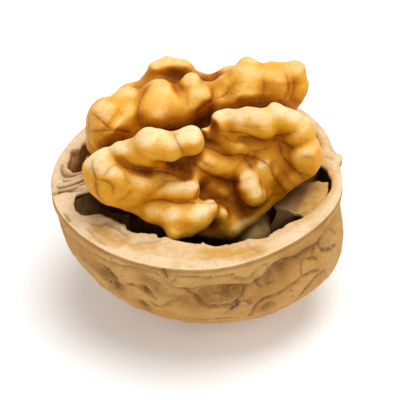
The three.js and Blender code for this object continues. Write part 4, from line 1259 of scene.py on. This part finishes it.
def kernel_piece():
    vertices, faces = surface_net(kernel_grid())
    vertices = np.array(KERNEL_LOW) + vertices * KERNEL_STEP
    normal = gradient(vertices)
    normal /= np.linalg.norm(normal, axis=1, keepdims=True)
    vertices = vertices - kernel_distance(vertices)[:, None] * normal
    gaps, veins = vein_marks(vertices, faces)
    # Openness paints shade into the skin's creases and recesses
    openness = sum(weight * np.clip(kernel_distance(vertices + out * normal) / out, 0, 1)
                   for out, weight in OPEN_REACHES)
    around = sum(kernel_distance(vertices + side) for side in np.vstack([np.eye(3), -np.eye(3)]))
    # Paler crests, with a painted highlight where the skin faces up
    pale_crest_and_highlight = smoothstep(normal[:, 2], *PALE_CREST_AND_HIGHLIGHT["slope"]) * smoothstep(openness, *PALE_CREST_AND_HIGHLIGHT["open"])
    pale_crest_and_highlight = pale_crest_and_highlight * at_least(PALE_CREST_AND_HIGHLIGHT["least"], smoothstep(around, *PALE_CREST_AND_HIGHLIGHT["round"]))
    pale_crest_and_highlight = pale_crest_and_highlight * (1 - PALE_CREST_AND_HIGHLIGHT_BACK["loss"] * smoothstep(vertices[:, 1], *PALE_CREST_AND_HIGHLIGHT_BACK["from"]))
    # Painted shade in concave hollows
    openness = openness - HOLLOW_SHADE["strength"] * (1 - smoothstep(around, *HOLLOW_SHADE["round"]))
    # Painted shade in tight creases
    free = kernel_distance(vertices + CREASE_REACH * normal) / CREASE_REACH
    crease = CREASE_SHADE["strength"] * smoothstep(1 - free, *CREASE_SHADE["range"])
    lumps = rough_at(vertices, KERNEL_LUMPS) * smoothstep(openness, *LUMPS_OPEN)
    grooves = VEIN_DEPTH * veins * bell(gaps, VEIN_WIDTH)
    vertices = vertices + normal * (lumps - grooves)[:, None]
    pale = 1 - smoothstep(np.linalg.norm(vertices - PALE_LOBE, axis=1), *PALE_REACH)
    # The skin deep inside the shell gets painted shade
    marks = {
        "openness": openness, "pale_crest_and_highlight": pale_crest_and_highlight, "crease": crease, "vein": veins, "vein_gap": gaps, "pale": pale,
        "deep_shade": smoothstep(-vertices[:, 2], *DEEP_SHADE_DEPTH) * (1 - pale),
    }
    vertices = vertices + (0, 0, DEPTH)
    piece = make_piece("kernel_dressed", vertices, faces.tolist(), marks, kernel_look())
    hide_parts("kernel")


# Partition

def through_three(share, places):
    """A curve through three places, at shares from 0 to 1."""
    weights = (2 * (share - 0.5) * (share - 1), -4 * share * (share - 1), 2 * share * (share - 0.5))
    return sum(weight[..., None] * np.array(place) for weight, place in zip(weights, places))


def partition_piece():
    across, down = np.meshgrid(*(np.linspace(0, 1, count) for count in SHEET_GRID), indexing="ij")
    middle = through_three(across, [through_three(down, row) for row in SHEET_ROWS])
    edge = smoothstep(np.maximum(np.abs(across - 0.5), np.abs(down - 0.5)), *SHEET_EDGE)
    middle = middle + rough_at(middle, SHEET_WAVES)[..., None] * (0, 0, 1)
    middle = middle + (edge * rough_at(middle, SHEET_TEARS))[..., None] * SHEET_TEAR_WAY
    lift = np.array((0, 0, SHEET_THICKNESS / 2))
    top, under = middle + lift, middle - lift
    number = np.arange(across.size).reshape(across.shape)
    corners = [number[:-1, :-1], number[1:, :-1], number[1:, 1:], number[:-1, 1:]]
    quads = np.stack(corners, axis=-1).reshape(-1, 4)
    border = np.concatenate([number[0, :-1], number[:-1, -1], number[-1, :0:-1], number[:0:-1, 0]])
    ahead = np.roll(border, -1)
    size = across.size
    sides = np.stack([border, ahead, ahead + size, border + size], axis=-1)
    faces = np.vstack([quads[:, ::-1], quads + size, sides])
    vertices = np.vstack([top.reshape(-1, 3), under.reshape(-1, 3)]) + (0, 0, DEPTH)
    frayed = smoothstep(down, *SHEET_FRAYED["down"]) * smoothstep(across, *SHEET_FRAYED["across"])
    # Painted shade on one half of the sheet
    shade = smoothstep(across, *SHEET_SHADE)
    marks = {"shade": np.tile(shade.ravel(), 2), "frayed": np.tile(frayed.ravel(), 2)}
    piece = make_piece("partition_dressed", vertices, faces.tolist(), marks, partition_look())
    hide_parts("partition")


# Stage

def make_floor():
    mesh = bpy.data.meshes.new("floor")
    corners = [(x * FLOOR_REACH, y * FLOOR_REACH, 0) for x, y in ((-1, -1), (1, -1), (1, 1), (-1, 1))]
    mesh.from_pydata(corners, [], [(0, 1, 2, 3)])
    mesh.materials.append(floor_look())
    floor = bpy.data.objects.new("floor", mesh)
    bpy.context.scene.collection.objects.link(floor)


def make_light(name, place, size, power):
    data = bpy.data.lights.new(name, "AREA")
    data.shape = "DISK"
    data.size = size
    data.energy = power
    light = bpy.data.objects.new(name, data)
    light.location = place
    light.rotation_mode = "QUATERNION"
    light.rotation_quaternion = (Vector((0, 0, DEPTH * MM)) - light.location).to_track_quat("-Z", "Y")
    bpy.context.scene.collection.objects.link(light)


def make_studio():
    world = bpy.data.worlds.new("studio")
    world.use_nodes = True
    sky = world.node_tree.nodes["Background"].inputs
    sky["Color"].default_value = (1, 1, 1, 1)
    sky["Strength"].default_value = WORLD_STRENGTH
    bpy.context.scene.world = world
    bpy.context.scene.view_settings.view_transform = "Standard"
    for light in LIGHTS:
        make_light(*light)
    make_floor()


make_camera()
make_studio()
shell_piece()
strands_piece()
kernel_piece()
partition_piece()
